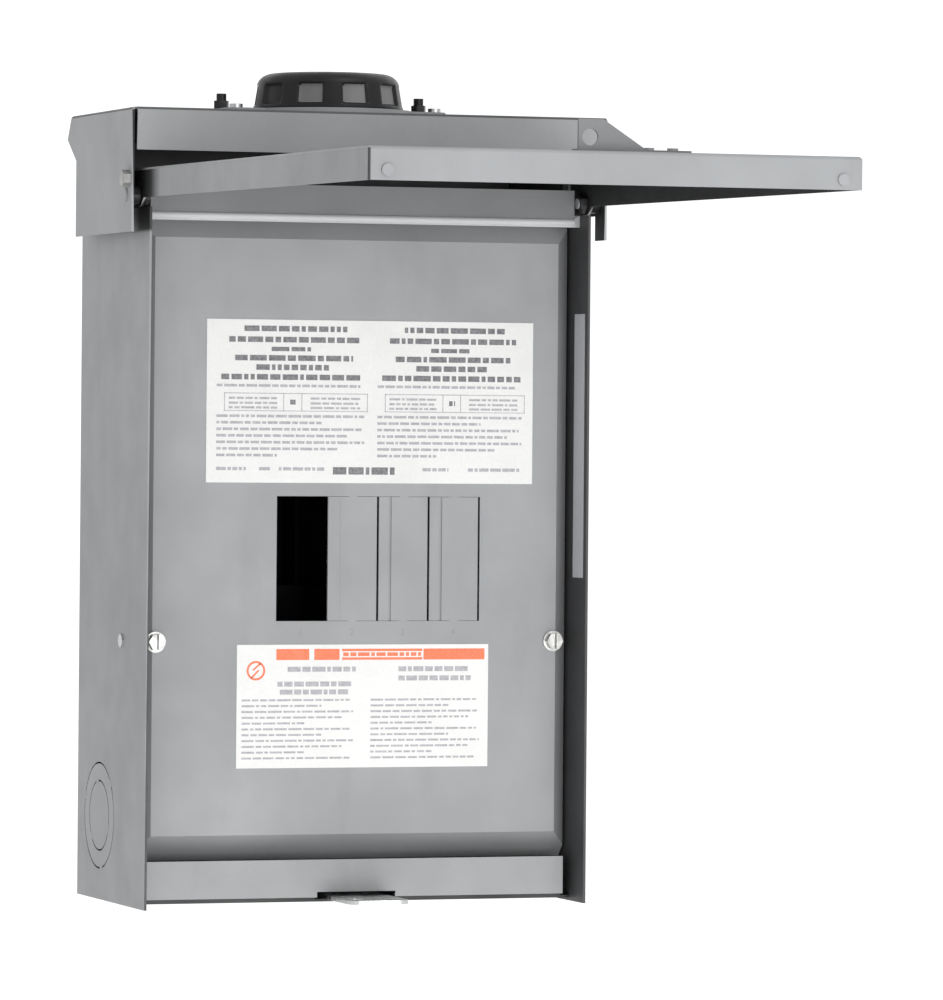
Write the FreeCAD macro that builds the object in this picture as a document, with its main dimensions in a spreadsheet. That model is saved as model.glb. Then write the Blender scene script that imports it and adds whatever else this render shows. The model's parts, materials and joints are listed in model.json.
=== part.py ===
"""Outdoor residential load center with a lift-up door, as a parametric document.

Shop coordinates, used while a piece is drawn: X to the right of the centre line, Y back from the
front plane (the front edges of the rain cap's skirts), Z up from the bottom edge of the side walls.
Each finished piece is then placed so that the origin lies on the wall plane, at the centre of the
four wall holes. Pieces of the door are drawn about the hinge axis instead, with the door level.
"""
import FreeCAD
import Part
import math
import os
import Sketcher
from FreeCAD import Placement, Rotation, Vector

doc = FreeCAD.newDocument("LoadCenter")
sheet = doc.addObject("Spreadsheet::Sheet", "Dims")

# Driving dimensions, mm and degrees.
DIMENSIONS = [
    # box
    ("sheet_steel", 1.2), ("box_width", 219), ("box_depth", 116.5), ("wall_front", 1.8),
    ("wall_notch_depth", 38), ("wall_notch_top", 328), ("wall_top", 373.2), ("mount_height", 170),
    ("wall_hole_dx", 150), ("wall_hole_dz", 260), ("wall_hole_radius", 3.2), ("endwall_lift", 1.4),
    ("lip_depth", 18.5), ("lip_top", 21.5), ("lip_return", 3), ("lip_half", 104), ("lip_bottom", 3.6),
    ("lip_setback", 3), ("lip_slot_half", 19.5), ("lip_slot_top", 6.2),
    ("rail_depth", 14), ("rail_bottom", 322.4), ("rail_top", 340), ("rail_bead_height", 324.9),
    ("rail_bead", 1.7), ("rail_half", 105.5),
    # rain cap
    ("skirt_gap", 8.5), ("skirt_front", 3), ("flange_half", 116.2), ("cap_rear", 114),
    ("cap_top_rear", 107), ("relief_depth", 16), ("relief_top", 328), ("cap_top", 374.4),
    ("cap_flange_bottom", 354.4), ("skirt_bottom", 316.2), ("skirt_step_top", 363.2),
    ("skirt_step_low", 352.5), ("skirt_step_depth", 18), ("hub_depth", 72), ("hub_hole_radius", 31),
    ("hub_plate_radius", 41), ("hub_ear_round", 5.5), ("gasket_thickness", 1),
    ("hub_plate_thickness", 2.6), ("hub_cap_radius", 36.5), ("hub_cap_height", 17.6),
    ("hub_cap_wall", 3), ("hub_spigot_radius", 28), ("hub_screw_dx", 50), ("hub_screw_dy", 12),
    # door and hinge
    ("hinge_depth", 12.6), ("hinge_height", 333.7), ("pin_radius", 2.5), ("pin_clearance", 0.06),
    ("door_gap", 1), ("door_offset", 12.6), ("door_reach", 339.8), ("door_tail", 16),
    ("door_flange_near", 14.4), ("door_flange_hinge", 14), ("ear_drop", 5.4), ("door_droop", 0.45),
    ("door_slot_half", 17.5), ("door_slot_near", 6.4), ("door_slot_far", 12.6),
    ("padlock_across", -8.2), ("padlock_ahead", 6.2), ("padlock_radius", 3.6),
    ("pull_rivet_radius", 1.5), ("stay_depth", 7.4), ("stay_height", 341), ("stay_radius", 2.2),
    # dead front
    ("face_depth", 22.3), ("face_half", 107.6), ("face_low", 20.8), ("face_high", 323),
    ("face_skirt", 16), ("face_bevel_top", 8.4), ("face_bevel_low", 12.4), ("face_bevel_side", 7),
    ("pole_pitch", 25.4), ("window_left", -39.8), ("window_low", 134.1), ("window_high", 193.2),
    ("slit", 1), ("crease_width", 1.2), ("face_screw_half", 99.2), ("face_screw_height", 124.4),
    ("bracket_depth", 38.3),
    # knockouts
    ("side_knockout_depth", 79), ("side_knockout_height", 40), ("ring_radius", 25.5),
    ("disc_radius", 16.2), ("knockout_gap", 0.8), ("bottom_knockout_dx", 45),
    ("bottom_knockout_depth", 72), ("bottom_disc_radius", 11), ("bottom_ring_radius", 17),
    # interior
    ("pan_depth", 98), ("pan_left", -60), ("pan_right", 86), ("pan_low", 96), ("pan_high", 262),
    ("bus_front", 80), ("bus_thick", 3), ("bus_gap", 5), ("bus_width", 12), ("bus_a_low", 212),
    ("bus_b_low", 197), ("stab_thick", 1.6), ("stab_reach", 16), ("lug_height", 26), ("lug_half", 10),
    ("lug_deep", 20), ("lug_bore", 5.5), ("bar_wide", 11), ("bar_thick", 9),
    ("terminal_pitch", 9.5), ("terminal_bore", 2.4), ("terminal_screw", 2.1),
]


def fill_sheet():
    """Write each dimension as plain text into column B and give the cell its alias."""
    for row, (alias, value) in enumerate(DIMENSIONS, start=1):
        sheet.set(f"A{row}", alias)
        sheet.set(f"B{row}", str(value))
        sheet.setAlias(f"B{row}", alias)
    doc.recompute()


fill_sheet()
ALIASES = sorted((alias for alias, _ in DIMENSIONS), key=len, reverse=True)


def cells(expression):
    """The expression with each alias written as a reference to its cell."""
    words = []
    word = ""
    for letter in str(expression) + " ":
        if letter.isalnum() or letter in "_.":
            word += letter
            continue
        words.append(f"Dims.{word}" if word in ALIASES else word)
        words.append(letter)
        word = ""
    return "".join(words).strip()


def size(expression):
    """The value of an expression of aliases."""
    return float(sheet.evalExpression(cells(expression)))


def bind(obj, prop, expression):
    """Let the sheet drive one property."""
    obj.setExpression(prop, cells(expression))


# Part primitives -----------------------------------------------------------------------------

def block(name, x, y, z):
    """A box between two bounds on each axis, each bound an expression."""
    obj = doc.addObject("Part::Box", name)
    for prop, axis, (low, high) in (("Length", "x", x), ("Width", "y", y), ("Height", "z", z)):
        bind(obj, prop, f"({high}) - ({low})")
        bind(obj, f"Placement.Base.{axis}", low)
    return obj


TURNS = {
    "X": Rotation(Vector(0, 1, 0), 90),
    "Y": Rotation(Vector(1, 0, 0), -90),
    "Z": Rotation(),
}


def rod(name, axis, start, radius, length):
    """A cylinder from a start point (three expressions) along +axis."""
    obj = doc.addObject("Part::Cylinder", name)
    obj.Placement = Placement(Vector(), TURNS[axis])
    bind(obj, "Radius", radius)
    bind(obj, "Height", length)
    for letter, value in zip("xyz", start):
        bind(obj, f"Placement.Base.{letter}", value)
    return obj


def hexagon(name, axis, start, across, length):
    """A hexagonal prism from a start point along +axis; across is its width across flats."""
    obj = doc.addObject("Part::Prism", name)
    obj.Polygon = 6
    obj.Placement = Placement(Vector(), TURNS[axis])
    bind(obj, "Circumradius", f"({across}) / 2 / cos(30)")
    bind(obj, "Height", length)
    for letter, value in zip("xyz", start):
        bind(obj, f"Placement.Base.{letter}", value)
    return obj


def fuse(name, pieces):
    """One solid from several that overlap or touch."""
    obj = doc.addObject("Part::MultiFuse", name)
    obj.Shapes = pieces
    obj.Refine = True
    return obj


def cut(name, base, tools):
    """base less the tools."""
    tool = tools[0]
    if len(tools) > 1:
        tool = doc.addObject("Part::Compound", f"{name}_tools")
        tool.Links = tools
    obj = doc.addObject("Part::Cut", name)
    obj.Base = base
    obj.Tool = tool
    return obj


def group(name, pieces):
    """Separate solids that share one node."""
    obj = doc.addObject("Part::Compound", name)
    obj.Links = pieces
    return obj


# PartDesign ----------------------------------------------------------------------------------

def new_body(name):
    """An empty body."""
    return doc.addObject("PartDesign::Body", name)


def new_sketch(body, name, role, offset="0"):
    """A sketch on one of the body's own origin planes, moved along its normal."""
    plane = next(item for item in body.Origin.OriginFeatures if item.Role == role)
    sketch = body.newObject("Sketcher::SketchObject", name)
    sketch.AttachmentSupport = (plane, [""])
    sketch.MapMode = "FlatFace"
    bind(sketch, "AttachmentOffset.Base.z", offset)
    return sketch


def drive_point(sketch, curve, point, label, x, y):
    """Tie one point of a curve to the sheet, measured from the sketch's origin."""
    for kind, value in (("DistanceX", x), ("DistanceY", y)):
        index = sketch.addConstraint(Sketcher.Constraint(kind, -1, 1, curve, point, size(value)))
        name = f"{label}_{kind[-1]}"
        sketch.renameConstraint(index, name)
        bind(sketch, f"Constraints.{name}", value)


def outline(sketch, corners, label="corner"):
    """A closed polygon through corners, each a pair of expressions."""
    places = [Vector(size(x), size(y), 0) for x, y in corners]
    first = sketch.GeometryCount
    count = len(corners)
    for index, place in enumerate(places):
        sketch.addGeometry(Part.LineSegment(place, places[(index + 1) % count]), False)
    for index in range(count):
        following = first + (index + 1) % count
        sketch.addConstraint(Sketcher.Constraint("Coincident", first + index, 2, following, 1))
    for index, (x, y) in enumerate(corners):
        drive_point(sketch, first + index, 1, f"{label}{index}", x, y)


def rectangle(sketch, low, high, label="side"):
    """A rectangle between two opposite corners, each a pair of expressions."""
    outline(sketch, [low, (high[0], low[1]), high, (low[0], high[1])], label)


def circle(sketch, x, y, radius, label="circle"):
    """A full circle."""
    curve = sketch.addGeometry(Part.Circle(Vector(size(x), size(y), 0), Vector(0, 0, 1), size(radius)), False)
    drive_point(sketch, curve, 3, label, x, y)
    index = sketch.addConstraint(Sketcher.Constraint("Radius", curve, size(radius)))
    sketch.renameConstraint(index, f"{label}_radius")
    bind(sketch, f"Constraints.{label}_radius", radius)


def pad(body, sketch, length, centred=False, backward=False):
    """Pad a sketch by a length, to both sides of it when centred."""
    feature = body.newObject("PartDesign::Pad", f"{sketch.Name}_pad")
    feature.Profile = sketch
    feature.Midplane = centred
    feature.Reversed = backward
    bind(feature, "Length", length)
    doc.recompute()
    return feature


def pocket(body, sketch, length, centred=False, backward=False):
    """Pocket a sketch by a length and make sure that it takes material away."""
    before = body.Shape.Volume
    feature = body.newObject("PartDesign::Pocket", f"{sketch.Name}_pocket")
    feature.Profile = sketch
    feature.Midplane = centred
    feature.Reversed = backward
    bind(feature, "Length", length)
    doc.recompute()
    if body.Shape.Volume >= before - 1e-3:
        raise RuntimeError(f"{feature.Name} cuts nothing")
    return feature


def revolve(body, sketch, axis="V_Axis"):
    """Turn a sketch fully about one of its own axes."""
    feature = body.newObject("PartDesign::Revolution", f"{sketch.Name}_turn")
    feature.Profile = sketch
    feature.ReferenceAxis = (sketch, [axis])
    feature.Angle = 360
    doc.recompute()
    return feature


def edges_where(body, test):
    """Names of the straight edges of the body whose two ends satisfy a test."""
    names = []
    for index, edge in enumerate(body.Shape.Edges, start=1):
        ends = [vertex.Point for vertex in edge.Vertexes]
        if len(ends) == 2 and edge.Curve.TypeId == "Part::GeomLine" and test(*ends):
            names.append(f"Edge{index}")
    return names


def dress(body, kind, names, amount, prop):
    """Fillet or chamfer named edges of the body's tip."""
    tip = body.Tip
    feature = body.newObject(f"PartDesign::{kind}", f"{body.Name}_{kind.lower()}{len(body.Group)}")
    feature.Base = (tip, names)
    bind(feature, prop, amount)
    doc.recompute()
    return feature


def fillet(body, names, radius):
    """Round named edges."""
    return dress(body, "Fillet", names, radius, "Radius")


def chamfer(body, names, amount):
    """Bevel named edges at 45 degrees."""
    return dress(body, "Chamfer", names, amount, "Size")


# Finished pieces -----------------------------------------------------------------------------

FINISHED = []


def finish(obj, label, on_door=False):
    """Label a finished piece and move it from shop coordinates into the part's frame."""
    obj.Label = label
    if on_door:
        droop = Rotation(Vector(1, 0, 0), size("door_droop"))
        obj.Placement = Placement(Vector(), droop)
        bind(obj, "Placement.Base.y", "hinge_depth - box_depth")
        bind(obj, "Placement.Base.z", "hinge_height - mount_height")
    else:
        bind(obj, "Placement.Base.y", "-box_depth")
        bind(obj, "Placement.Base.z", "-mount_height")
    FINISHED.append(obj)
    return obj


def screw(name, axis, head, head_radius, head_height, shank_radius, shank_length, slot=0.0):
    """A pan-head screw. head is the underside of its head, and the shank runs along axis ("+Y"...)."""
    way = 1 if axis[0] == "+" else -1
    letter = axis[1]
    index = "XYZ".index(letter)

    def start(shift):
        place = list(head)
        place[index] = f"{head[index]} + {shift}"
        return place

    cap = rod(f"{name}_head", letter, start(-head_height if way > 0 else 0), head_radius, head_height)
    stem_start = -0.2 if way > 0 else -shank_length
    stem = rod(f"{name}_stem", letter, start(stem_start), shank_radius, shank_length + 0.2)
    body = fuse(f"{name}_blank", [cap, stem])
    if not slot:
        return body
    across = "XYZ"[(index + 1) % 3]
    other = "XYZ"[(index + 2) % 3]
    bounds = {}
    top = -head_height if way > 0 else 0
    groove = head_height * 0.45
    top_start = top - 1 if way > 0 else head_height - groove
    bounds[letter] = (f"{head[index]} + {top_start}", f"{head[index]} + {top_start + groove + 1}")
    here = head["XYZ".index(across)]
    bounds[across] = (f"{here} - {head_radius} - 1", f"{here} + {head_radius} + 1")
    there = head["XYZ".index(other)]
    bounds[other] = (f"{there} - {slot / 2}", f"{there} + {slot / 2}")
    groove_box = block(f"{name}_slot", bounds["X"], bounds["Y"], bounds["Z"])
    return cut(name, body, [groove_box])


# Box -----------------------------------------------------------------------------------------

def make_wrapper():
    """Back and two sides folded from one sheet."""
    body = new_body("enclosure_wrapper")
    plan = new_sketch(body, "wrapper_plan", "XY_Plane")
    outer = "box_width / 2"
    inner = "box_width / 2 - sheet_steel"
    back = "box_depth - sheet_steel"
    right = [(outer, "wall_front"), (inner, "wall_front"), (inner, back)]
    left = [(f"-({x})", y) for x, y in reversed(right)]
    outline(plan, right + left + [(f"-({outer})", "box_depth"), (outer, "box_depth")])
    pad(body, plan, "wall_top")
    notch = new_sketch(body, "wrapper_notch", "YZ_Plane")
    rectangle(notch, ("wall_front - 5", "wall_notch_top"), ("wall_notch_depth", "wall_top + 5"))
    rectangle(notch, ("cap_top_rear - 7", "skirt_step_top - 3"), ("box_depth - sheet_steel", "wall_top + 5"), "rear")
    pocket(body, notch, "box_width + 10", centred=True)
    sides = new_sketch(body, "wrapper_side_holes", "YZ_Plane")
    circle(sides, "side_knockout_depth", "side_knockout_height", "ring_radius", "knockout")
    pocket(body, sides, "box_width + 10", centred=True)
    rivets = new_sketch(body, "wrapper_rivet_holes", "YZ_Plane")
    circle(rivets, "bracket_depth + 4.5", "face_screw_height", "1.6", "rivet")
    pocket(body, rivets, "box_width + 10", centred=True)
    holes = new_sketch(body, "wrapper_wall_holes", "XZ_Plane", "10 - box_depth")
    for column in (-1, 1):
        for row in (-1, 1):
            circle(holes, f"{column} * wall_hole_dx / 2", f"mount_height + {row} * wall_hole_dz / 2",
                   "wall_hole_radius", f"hole{column + 1}{row + 1}")
    circle(holes, "0", "60", "bottom_disc_radius", "back_knockout")
    pocket(body, holes, "20")
    finish(body, "enclosure_wrapper")


def make_bottom_endwall():
    """Floor with a front lip that stands on a recessed riser, and a notch for the hasp tab."""
    half = "box_width / 2 - sheet_steel"
    low = "endwall_lift"
    inset = "lip_depth + lip_setback"
    floor = block("endwall_floor", (f"-({half})", half), (inset, "box_depth - sheet_steel"),
                  (low, f"{low} + sheet_steel"))
    riser = block("endwall_riser", ("-lip_half", "lip_half"), (inset, f"{inset} + sheet_steel"),
                  (low, "lip_bottom + sheet_steel"))
    ledge = block("endwall_ledge", ("-lip_half", "lip_half"), ("lip_depth", f"{inset} + sheet_steel"),
                  ("lip_bottom", "lip_bottom + sheet_steel"))
    lip = block("endwall_lip", ("-lip_half", "lip_half"), ("lip_depth", "lip_depth + sheet_steel"),
                ("lip_bottom", "lip_top"))
    fold = block("endwall_fold", ("-lip_half", "lip_half"), ("lip_depth", "lip_depth + lip_return"),
                 ("lip_top - sheet_steel", "lip_top"))
    rear = block("endwall_rear_flange", ("-70", "70"), ("box_depth - 2 * sheet_steel",
                                                        "box_depth - sheet_steel"),
                 (low, f"{low} + 12"))
    shell = fuse("endwall_shell", [floor, riser, ledge, lip, fold, rear])
    slot = block("endwall_slot", ("-lip_slot_half", "lip_slot_half"), ("lip_depth - 1",
                                                                       f"{inset} + sheet_steel"),
                 (f"{low} + sheet_steel", "lip_slot_top"))
    tools = [slot]
    for side in (-1, 1):
        tools.append(rod(f"endwall_knockout{side + 1}", "Z",
                         (f"{side} * bottom_knockout_dx", "bottom_knockout_depth", "-2"), "bottom_ring_radius", "8"))
    finish(cut("bottom_endwall", shell, tools), "bottom_endwall")


def make_top_rail():
    """Header strip across the opening under the cap, with a rolled bead along it."""
    body = new_body("top_rail")
    front = new_sketch(body, "rail_outline", "XZ_Plane", "-rail_depth")
    wide = "box_width / 2 - sheet_steel"
    step = "wall_notch_top"
    outline(front, [(f"-({wide})", "rail_bottom"), (wide, "rail_bottom"), (wide, step), ("rail_half", step),
                    ("rail_half", "rail_top"), ("-rail_half", "rail_top"), ("-rail_half", step), (f"-({wide})", step)])
    pad(body, front, "sheet_steel", backward=True)
    fold = new_sketch(body, "rail_fold", "YZ_Plane")
    rectangle(fold, ("rail_depth", "rail_top - sheet_steel"), ("rail_depth + 7", "rail_top"))
    pad(body, fold, "2 * rail_half", centred=True)
    bead = new_sketch(body, "rail_bead", "YZ_Plane")
    circle(bead, "rail_depth + 0.6", "rail_bead_height", "rail_bead", "bead")
    pad(body, bead, "2 * rail_half", centred=True)
    finish(body, "top_rail")


def make_hasp_tab():
    """Flat tab on the floor that reaches forward through the lip, with a padlock hole."""
    low = "endwall_lift + sheet_steel"
    high = f"{low} + 1.8"
    tongue = block("hasp_tongue", ("-15", "15"), ("-19", "52"), (low, high))
    hole = rod("hasp_padlock_hole", "Z", ("padlock_across", "-padlock_ahead", "0"), "padlock_radius", "10")
    blank = cut("hasp_blank", tongue, [hole])
    body = doc.addObject("Part::Fillet", "hasp_tab")
    body.Base = blank
    doc.recompute()
    corners = []
    for index, edge in enumerate(blank.Shape.Edges, start=1):
        ends = [vertex.Point for vertex in edge.Vertexes]
        upright = len(ends) == 2 and abs(ends[0].z - ends[1].z) > 1
        if upright and all(end.y < -18 for end in ends):
            corners.append((index, 6.0, 6.0))
    body.Edges = corners
    finish(body, "hasp_tab")


def make_knockouts():
    """Rings and discs that fill the punched holes of the walls and the floor."""
    rings, discs = [], []
    wall = "box_width / 2 - sheet_steel"
    for name, side in (("left", f"-box_width / 2"), ("right", wall)):
        here = (side, "side_knockout_depth", "side_knockout_height")
        outer = rod(f"ring_{name}_outer", "X", here, "ring_radius - knockout_gap", "sheet_steel")
        bore = rod(f"ring_{name}_bore", "X", (f"{side} - 1", here[1], here[2]),
                   "disc_radius + knockout_gap", "5")
        rings.append(cut(f"ring_{name}", outer, [bore]))
        discs.append(rod(f"disc_{name}", "X", here, "disc_radius", "sheet_steel"))
    finish(group("side_knockout_rings", rings), "side_knockout_rings")
    finish(group("side_knockout_discs", discs), "side_knockout_discs")
    rings, discs = [], []
    for side in (-1, 1):
        here = (f"{side} * bottom_knockout_dx", "bottom_knockout_depth", "endwall_lift")
        outer = rod(f"floor_ring{side + 1}_outer", "Z", here, "bottom_ring_radius - knockout_gap",
                    "sheet_steel")
        bore = rod(f"floor_ring{side + 1}_bore", "Z", (here[0], here[1], "0"),
                   "bottom_disc_radius + knockout_gap", "5")
        rings.append(cut(f"floor_ring{side + 1}", outer, [bore]))
        discs.append(rod(f"floor_disc{side + 1}", "Z", here, "bottom_disc_radius", "sheet_steel"))
    finish(group("bottom_knockout_rings", rings), "bottom_knockout_rings")
    finish(group("bottom_knockout_discs", discs), "bottom_knockout_discs")
    back = rod("back_knockout", "Y", ("0", "box_depth - sheet_steel", "60"),
               "bottom_disc_radius - knockout_gap", "sheet_steel")
    finish(group("back_knockout_disc", [back]), "back_knockout_disc")


# Rain cap and hub ----------------------------------------------------------------------------

def make_rain_cap():
    """Top, front flange and two skirts, folded from one sheet, with its rear edge turned down.

    The right skirt is cut away low down behind its front strip.
    """
    body = new_body("rain_cap")
    side = new_sketch(body, "cap_side", "YZ_Plane")
    step = "box_depth - skirt_step_depth"
    outline(side, [("0", "skirt_bottom"), ("0", "cap_top"), ("cap_top_rear", "cap_top"),
                   ("cap_rear", "skirt_step_top"), (step, "skirt_step_low"), (step, "skirt_bottom")])
    outer = "box_width + 2 * skirt_gap"
    inner = f"{outer} - 2 * sheet_steel"
    pad(body, side, outer, centred=True)
    top_edges = edges_where(body, lambda a, b: min(a.z, b.z) > size("cap_top") - 0.01
                            and not (a.y > 50 and b.y > 50))
    fillet(body, top_edges, "1.4")
    hollow = new_sketch(body, "cap_hollow", "YZ_Plane")
    roof = "cap_top - sheet_steel"
    slope = "(cap_top - skirt_step_top) / (cap_rear - cap_top_rear)"
    turn = f"cap_top_rear - ((sqrt(1 + ({slope}) ^ 2) - 1) * sheet_steel / ({slope}))"
    outline(hollow, [("sheet_steel", "skirt_bottom - 5"), ("cap_rear + 5", "skirt_bottom - 5"),
                     ("cap_rear + 5", f"{roof} - (cap_rear + 5 - ({turn})) * {slope}"), (turn, roof),
                     ("sheet_steel", roof)])
    pocket(body, hollow, inner, centred=True)
    mouth = new_sketch(body, "cap_mouth", "YZ_Plane")
    rectangle(mouth, ("-5", "skirt_bottom - 5"), ("sheet_steel + 5", "cap_flange_bottom"))
    pocket(body, mouth, inner, centred=True)
    relief = new_sketch(body, "cap_corner_relief", "XZ_Plane", "2")
    for way in (-1, 1):
        ends = sorted((f"{way} * flange_half", f"{way} * (box_width / 2 + skirt_gap + 2)"), key=size)
        rectangle(relief, (ends[0], "skirt_bottom - 2"), (ends[1], "cap_top + 2"), f"corner{way + 1}")
    pocket(body, relief, "2 + skirt_front")
    cutaway = new_sketch(body, "cap_right_cutaway", "YZ_Plane", f"({inner}) / 2 - 1")
    rectangle(cutaway, ("relief_depth", "skirt_bottom - 2"), ("box_depth", "relief_top"), "cutaway")
    pocket(body, cutaway, "sheet_steel + 3", backward=True)
    hub = new_sketch(body, "cap_hub_hole", "XY_Plane", "cap_top + 5")
    circle(hub, "0", "hub_depth", "hub_hole_radius", "hub")
    for column in (-1, 1):
        for row in (-1, 1):
            circle(hub, f"{column} * hub_screw_dx", f"hub_depth + {row} * hub_screw_dy", "1.9",
                   f"screw{column + 1}{row + 1}")
    pocket(body, hub, "5 + 2 * sheet_steel")
    pins = new_sketch(body, "cap_pin_holes", "YZ_Plane")
    circle(pins, "hinge_depth", "hinge_height", "pin_radius + pin_clearance", "pin")
    circle(pins, "stay_depth", "stay_height", "stay_radius + 0.06", "stay")
    pocket(body, pins, f"{outer} + 10", centred=True)
    finish(body, "rain_cap")


def make_cap_brackets():
    """Channel pieces, one each side, that hold the skirts off the box walls."""
    pieces = []
    for name, way in (("left", -1), ("right", 1)):
        inner = f"{way} * (box_width / 2)"
        outer = f"{way} * (box_width / 2 + skirt_gap - sheet_steel)"
        low, high = sorted((inner, outer), key=size)
        web = block(f"bracket_{name}_web", (low, high), ("62", "63.2"), ("326", "350"))
        wall_edge = sorted((inner, f"{inner} + {way} * sheet_steel"), key=size)
        skirt_edge = sorted((outer, f"{outer} - {way} * sheet_steel"), key=size)
        wall_leg = block(f"bracket_{name}_wall_leg", wall_edge, ("63.2", "75"), ("326", "350"))
        skirt_leg = block(f"bracket_{name}_skirt_leg", skirt_edge, ("50.2", "62"), ("326", "350"))
        pieces.append(fuse(f"bracket_{name}", [web, wall_leg, skirt_leg]))
    finish(group("cap_brackets", pieces), "cap_brackets")


def hub_plate_blank(name, low, high):
    """A disc with a wide ear to each side, rounded about its screws."""
    tall = f"({high}) - ({low})"
    pieces = [rod(f"{name}_disc", "Z", ("0", "hub_depth", low), "hub_plate_radius", tall)]
    long = "hub_screw_dx + hub_ear_round"
    deep = "hub_screw_dy + hub_ear_round"
    for index, (across, along) in enumerate((("hub_screw_dx", deep), (long, "hub_screw_dy"))):
        pieces.append(block(f"{name}_ears{index}", (f"-({across})", across),
                            (f"hub_depth - ({along})", f"hub_depth + {along}"), (low, high)))
    for column in (-1, 1):
        for row in (-1, 1):
            place = (f"{column} * hub_screw_dx", f"hub_depth + {row} * hub_screw_dy", low)
            pieces.append(rod(f"{name}_round{column + 1}{row + 1}", "Z", place, "hub_ear_round", tall))
    return fuse(f"{name}_blank", pieces)


def make_hub():
    """Closing plate over the hub opening, its gasket, the screw-in cap, lock ring and screws."""
    low = "cap_top"
    seat = f"{low} + gasket_thickness"
    top = f"{seat} + hub_plate_thickness"
    for label, bounds in (("hub_gasket", (low, seat)), ("hub_plate", (seat, top))):
        sheet_blank = hub_plate_blank(label, *bounds)
        tools = [rod(f"{label}_bore", "Z", ("0", "hub_depth", f"{low} - 1"), "hub_hole_radius", "8")]
        for column in (-1, 1):
            for row in (-1, 1):
                place = (f"{column} * hub_screw_dx", f"hub_depth + {row} * hub_screw_dy", f"{low} - 1")
                tools.append(rod(f"{label}_hole{column + 1}{row + 1}", "Z", place, "1.9", "8"))
        finish(cut(label, sheet_blank, tools), label)

    body = new_body("hub_cap")
    section = new_sketch(body, "hub_cap_section", "XZ_Plane")
    shoulder = "hub_cap_radius - 9"
    crown = f"{top} + hub_cap_height"
    outline(section, [("0", "cap_top - 6"), ("hub_spigot_radius - 3", "cap_top - 6"),
                      ("hub_spigot_radius", "cap_top - 4"), ("hub_spigot_radius", top), ("hub_cap_radius", top),
                      ("hub_cap_radius", f"{crown} - 9"), ("hub_cap_radius - 2.5", f"{crown} - 3.5"),
                      (shoulder, crown), ("0", crown)])
    revolve(body, section)
    inside = new_sketch(body, "hub_cap_inside", "XY_Plane", "cap_top - 7")
    circle(inside, "0", "0", "hub_spigot_radius - hub_cap_wall", "inside")
    pocket(body, inside, "7 + hub_plate_thickness + gasket_thickness + hub_cap_height - hub_cap_wall",
           backward=True)
    grip = new_sketch(body, "hub_cap_grip", "XY_Plane", f"{crown} + 1")
    circle(grip, "hub_cap_radius + 1.6", "0", "2.6", "grip")
    flute = pocket(body, grip, "hub_cap_height - 2")
    around = body.newObject("PartDesign::PolarPattern", "hub_cap_grips")
    around.Originals = [flute]
    around.Axis = (section, ["V_Axis"])
    around.Angle = 360
    around.Occurrences = 20
    body.Tip = around
    doc.recompute()
    finish(body, "hub_cap")
    bind(body, "Placement.Base.y", "hub_depth - box_depth")

    ring = rod("lock_ring_outer", "Z", ("0", "hub_depth", "cap_top - sheet_steel - 3.4"),
               "hub_hole_radius + 3.5", "3.4")
    bore = rod("lock_ring_bore", "Z", ("0", "hub_depth", "cap_top - 8"), "hub_spigot_radius + 0.3", "9")
    finish(cut("hub_lock_ring", ring, [bore]), "hub_lock_ring")

    rear, front = [], []
    for side in (-1, 1):
        place = (f"{side} * hub_screw_dx", "hub_depth + hub_screw_dy", top)
        stem = rod(f"hub_rear_stem{side + 1}", "Z", (place[0], place[1], f"{low} - 5"), "1.8",
                   f"5 + {top} - {low}")
        head = hexagon(f"hub_rear_head{side + 1}", "Z", place, "6.4", "4.4")
        knob = rod(f"hub_rear_knob{side + 1}", "Z", (place[0], place[1], f"{top} + 4.4"), "2.4", "3.4")
        rear.append(fuse(f"hub_rear_screw{side + 1}", [stem, head, knob]))
        forward = (place[0], "hub_depth - hub_screw_dy", top)
        front.append(screw(f"hub_front_screw{side + 1}", "-Z", forward, 3.2, 1.9, 1.8, 8, slot=0.8))
    finish(group("hub_rear_screws", rear), "hub_rear_screws")
    finish(group("hub_front_screws", front), "hub_front_screws")


# Door ----------------------------------------------------------------------------------------

PULL_RIVETS = ("20", "31")


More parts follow.
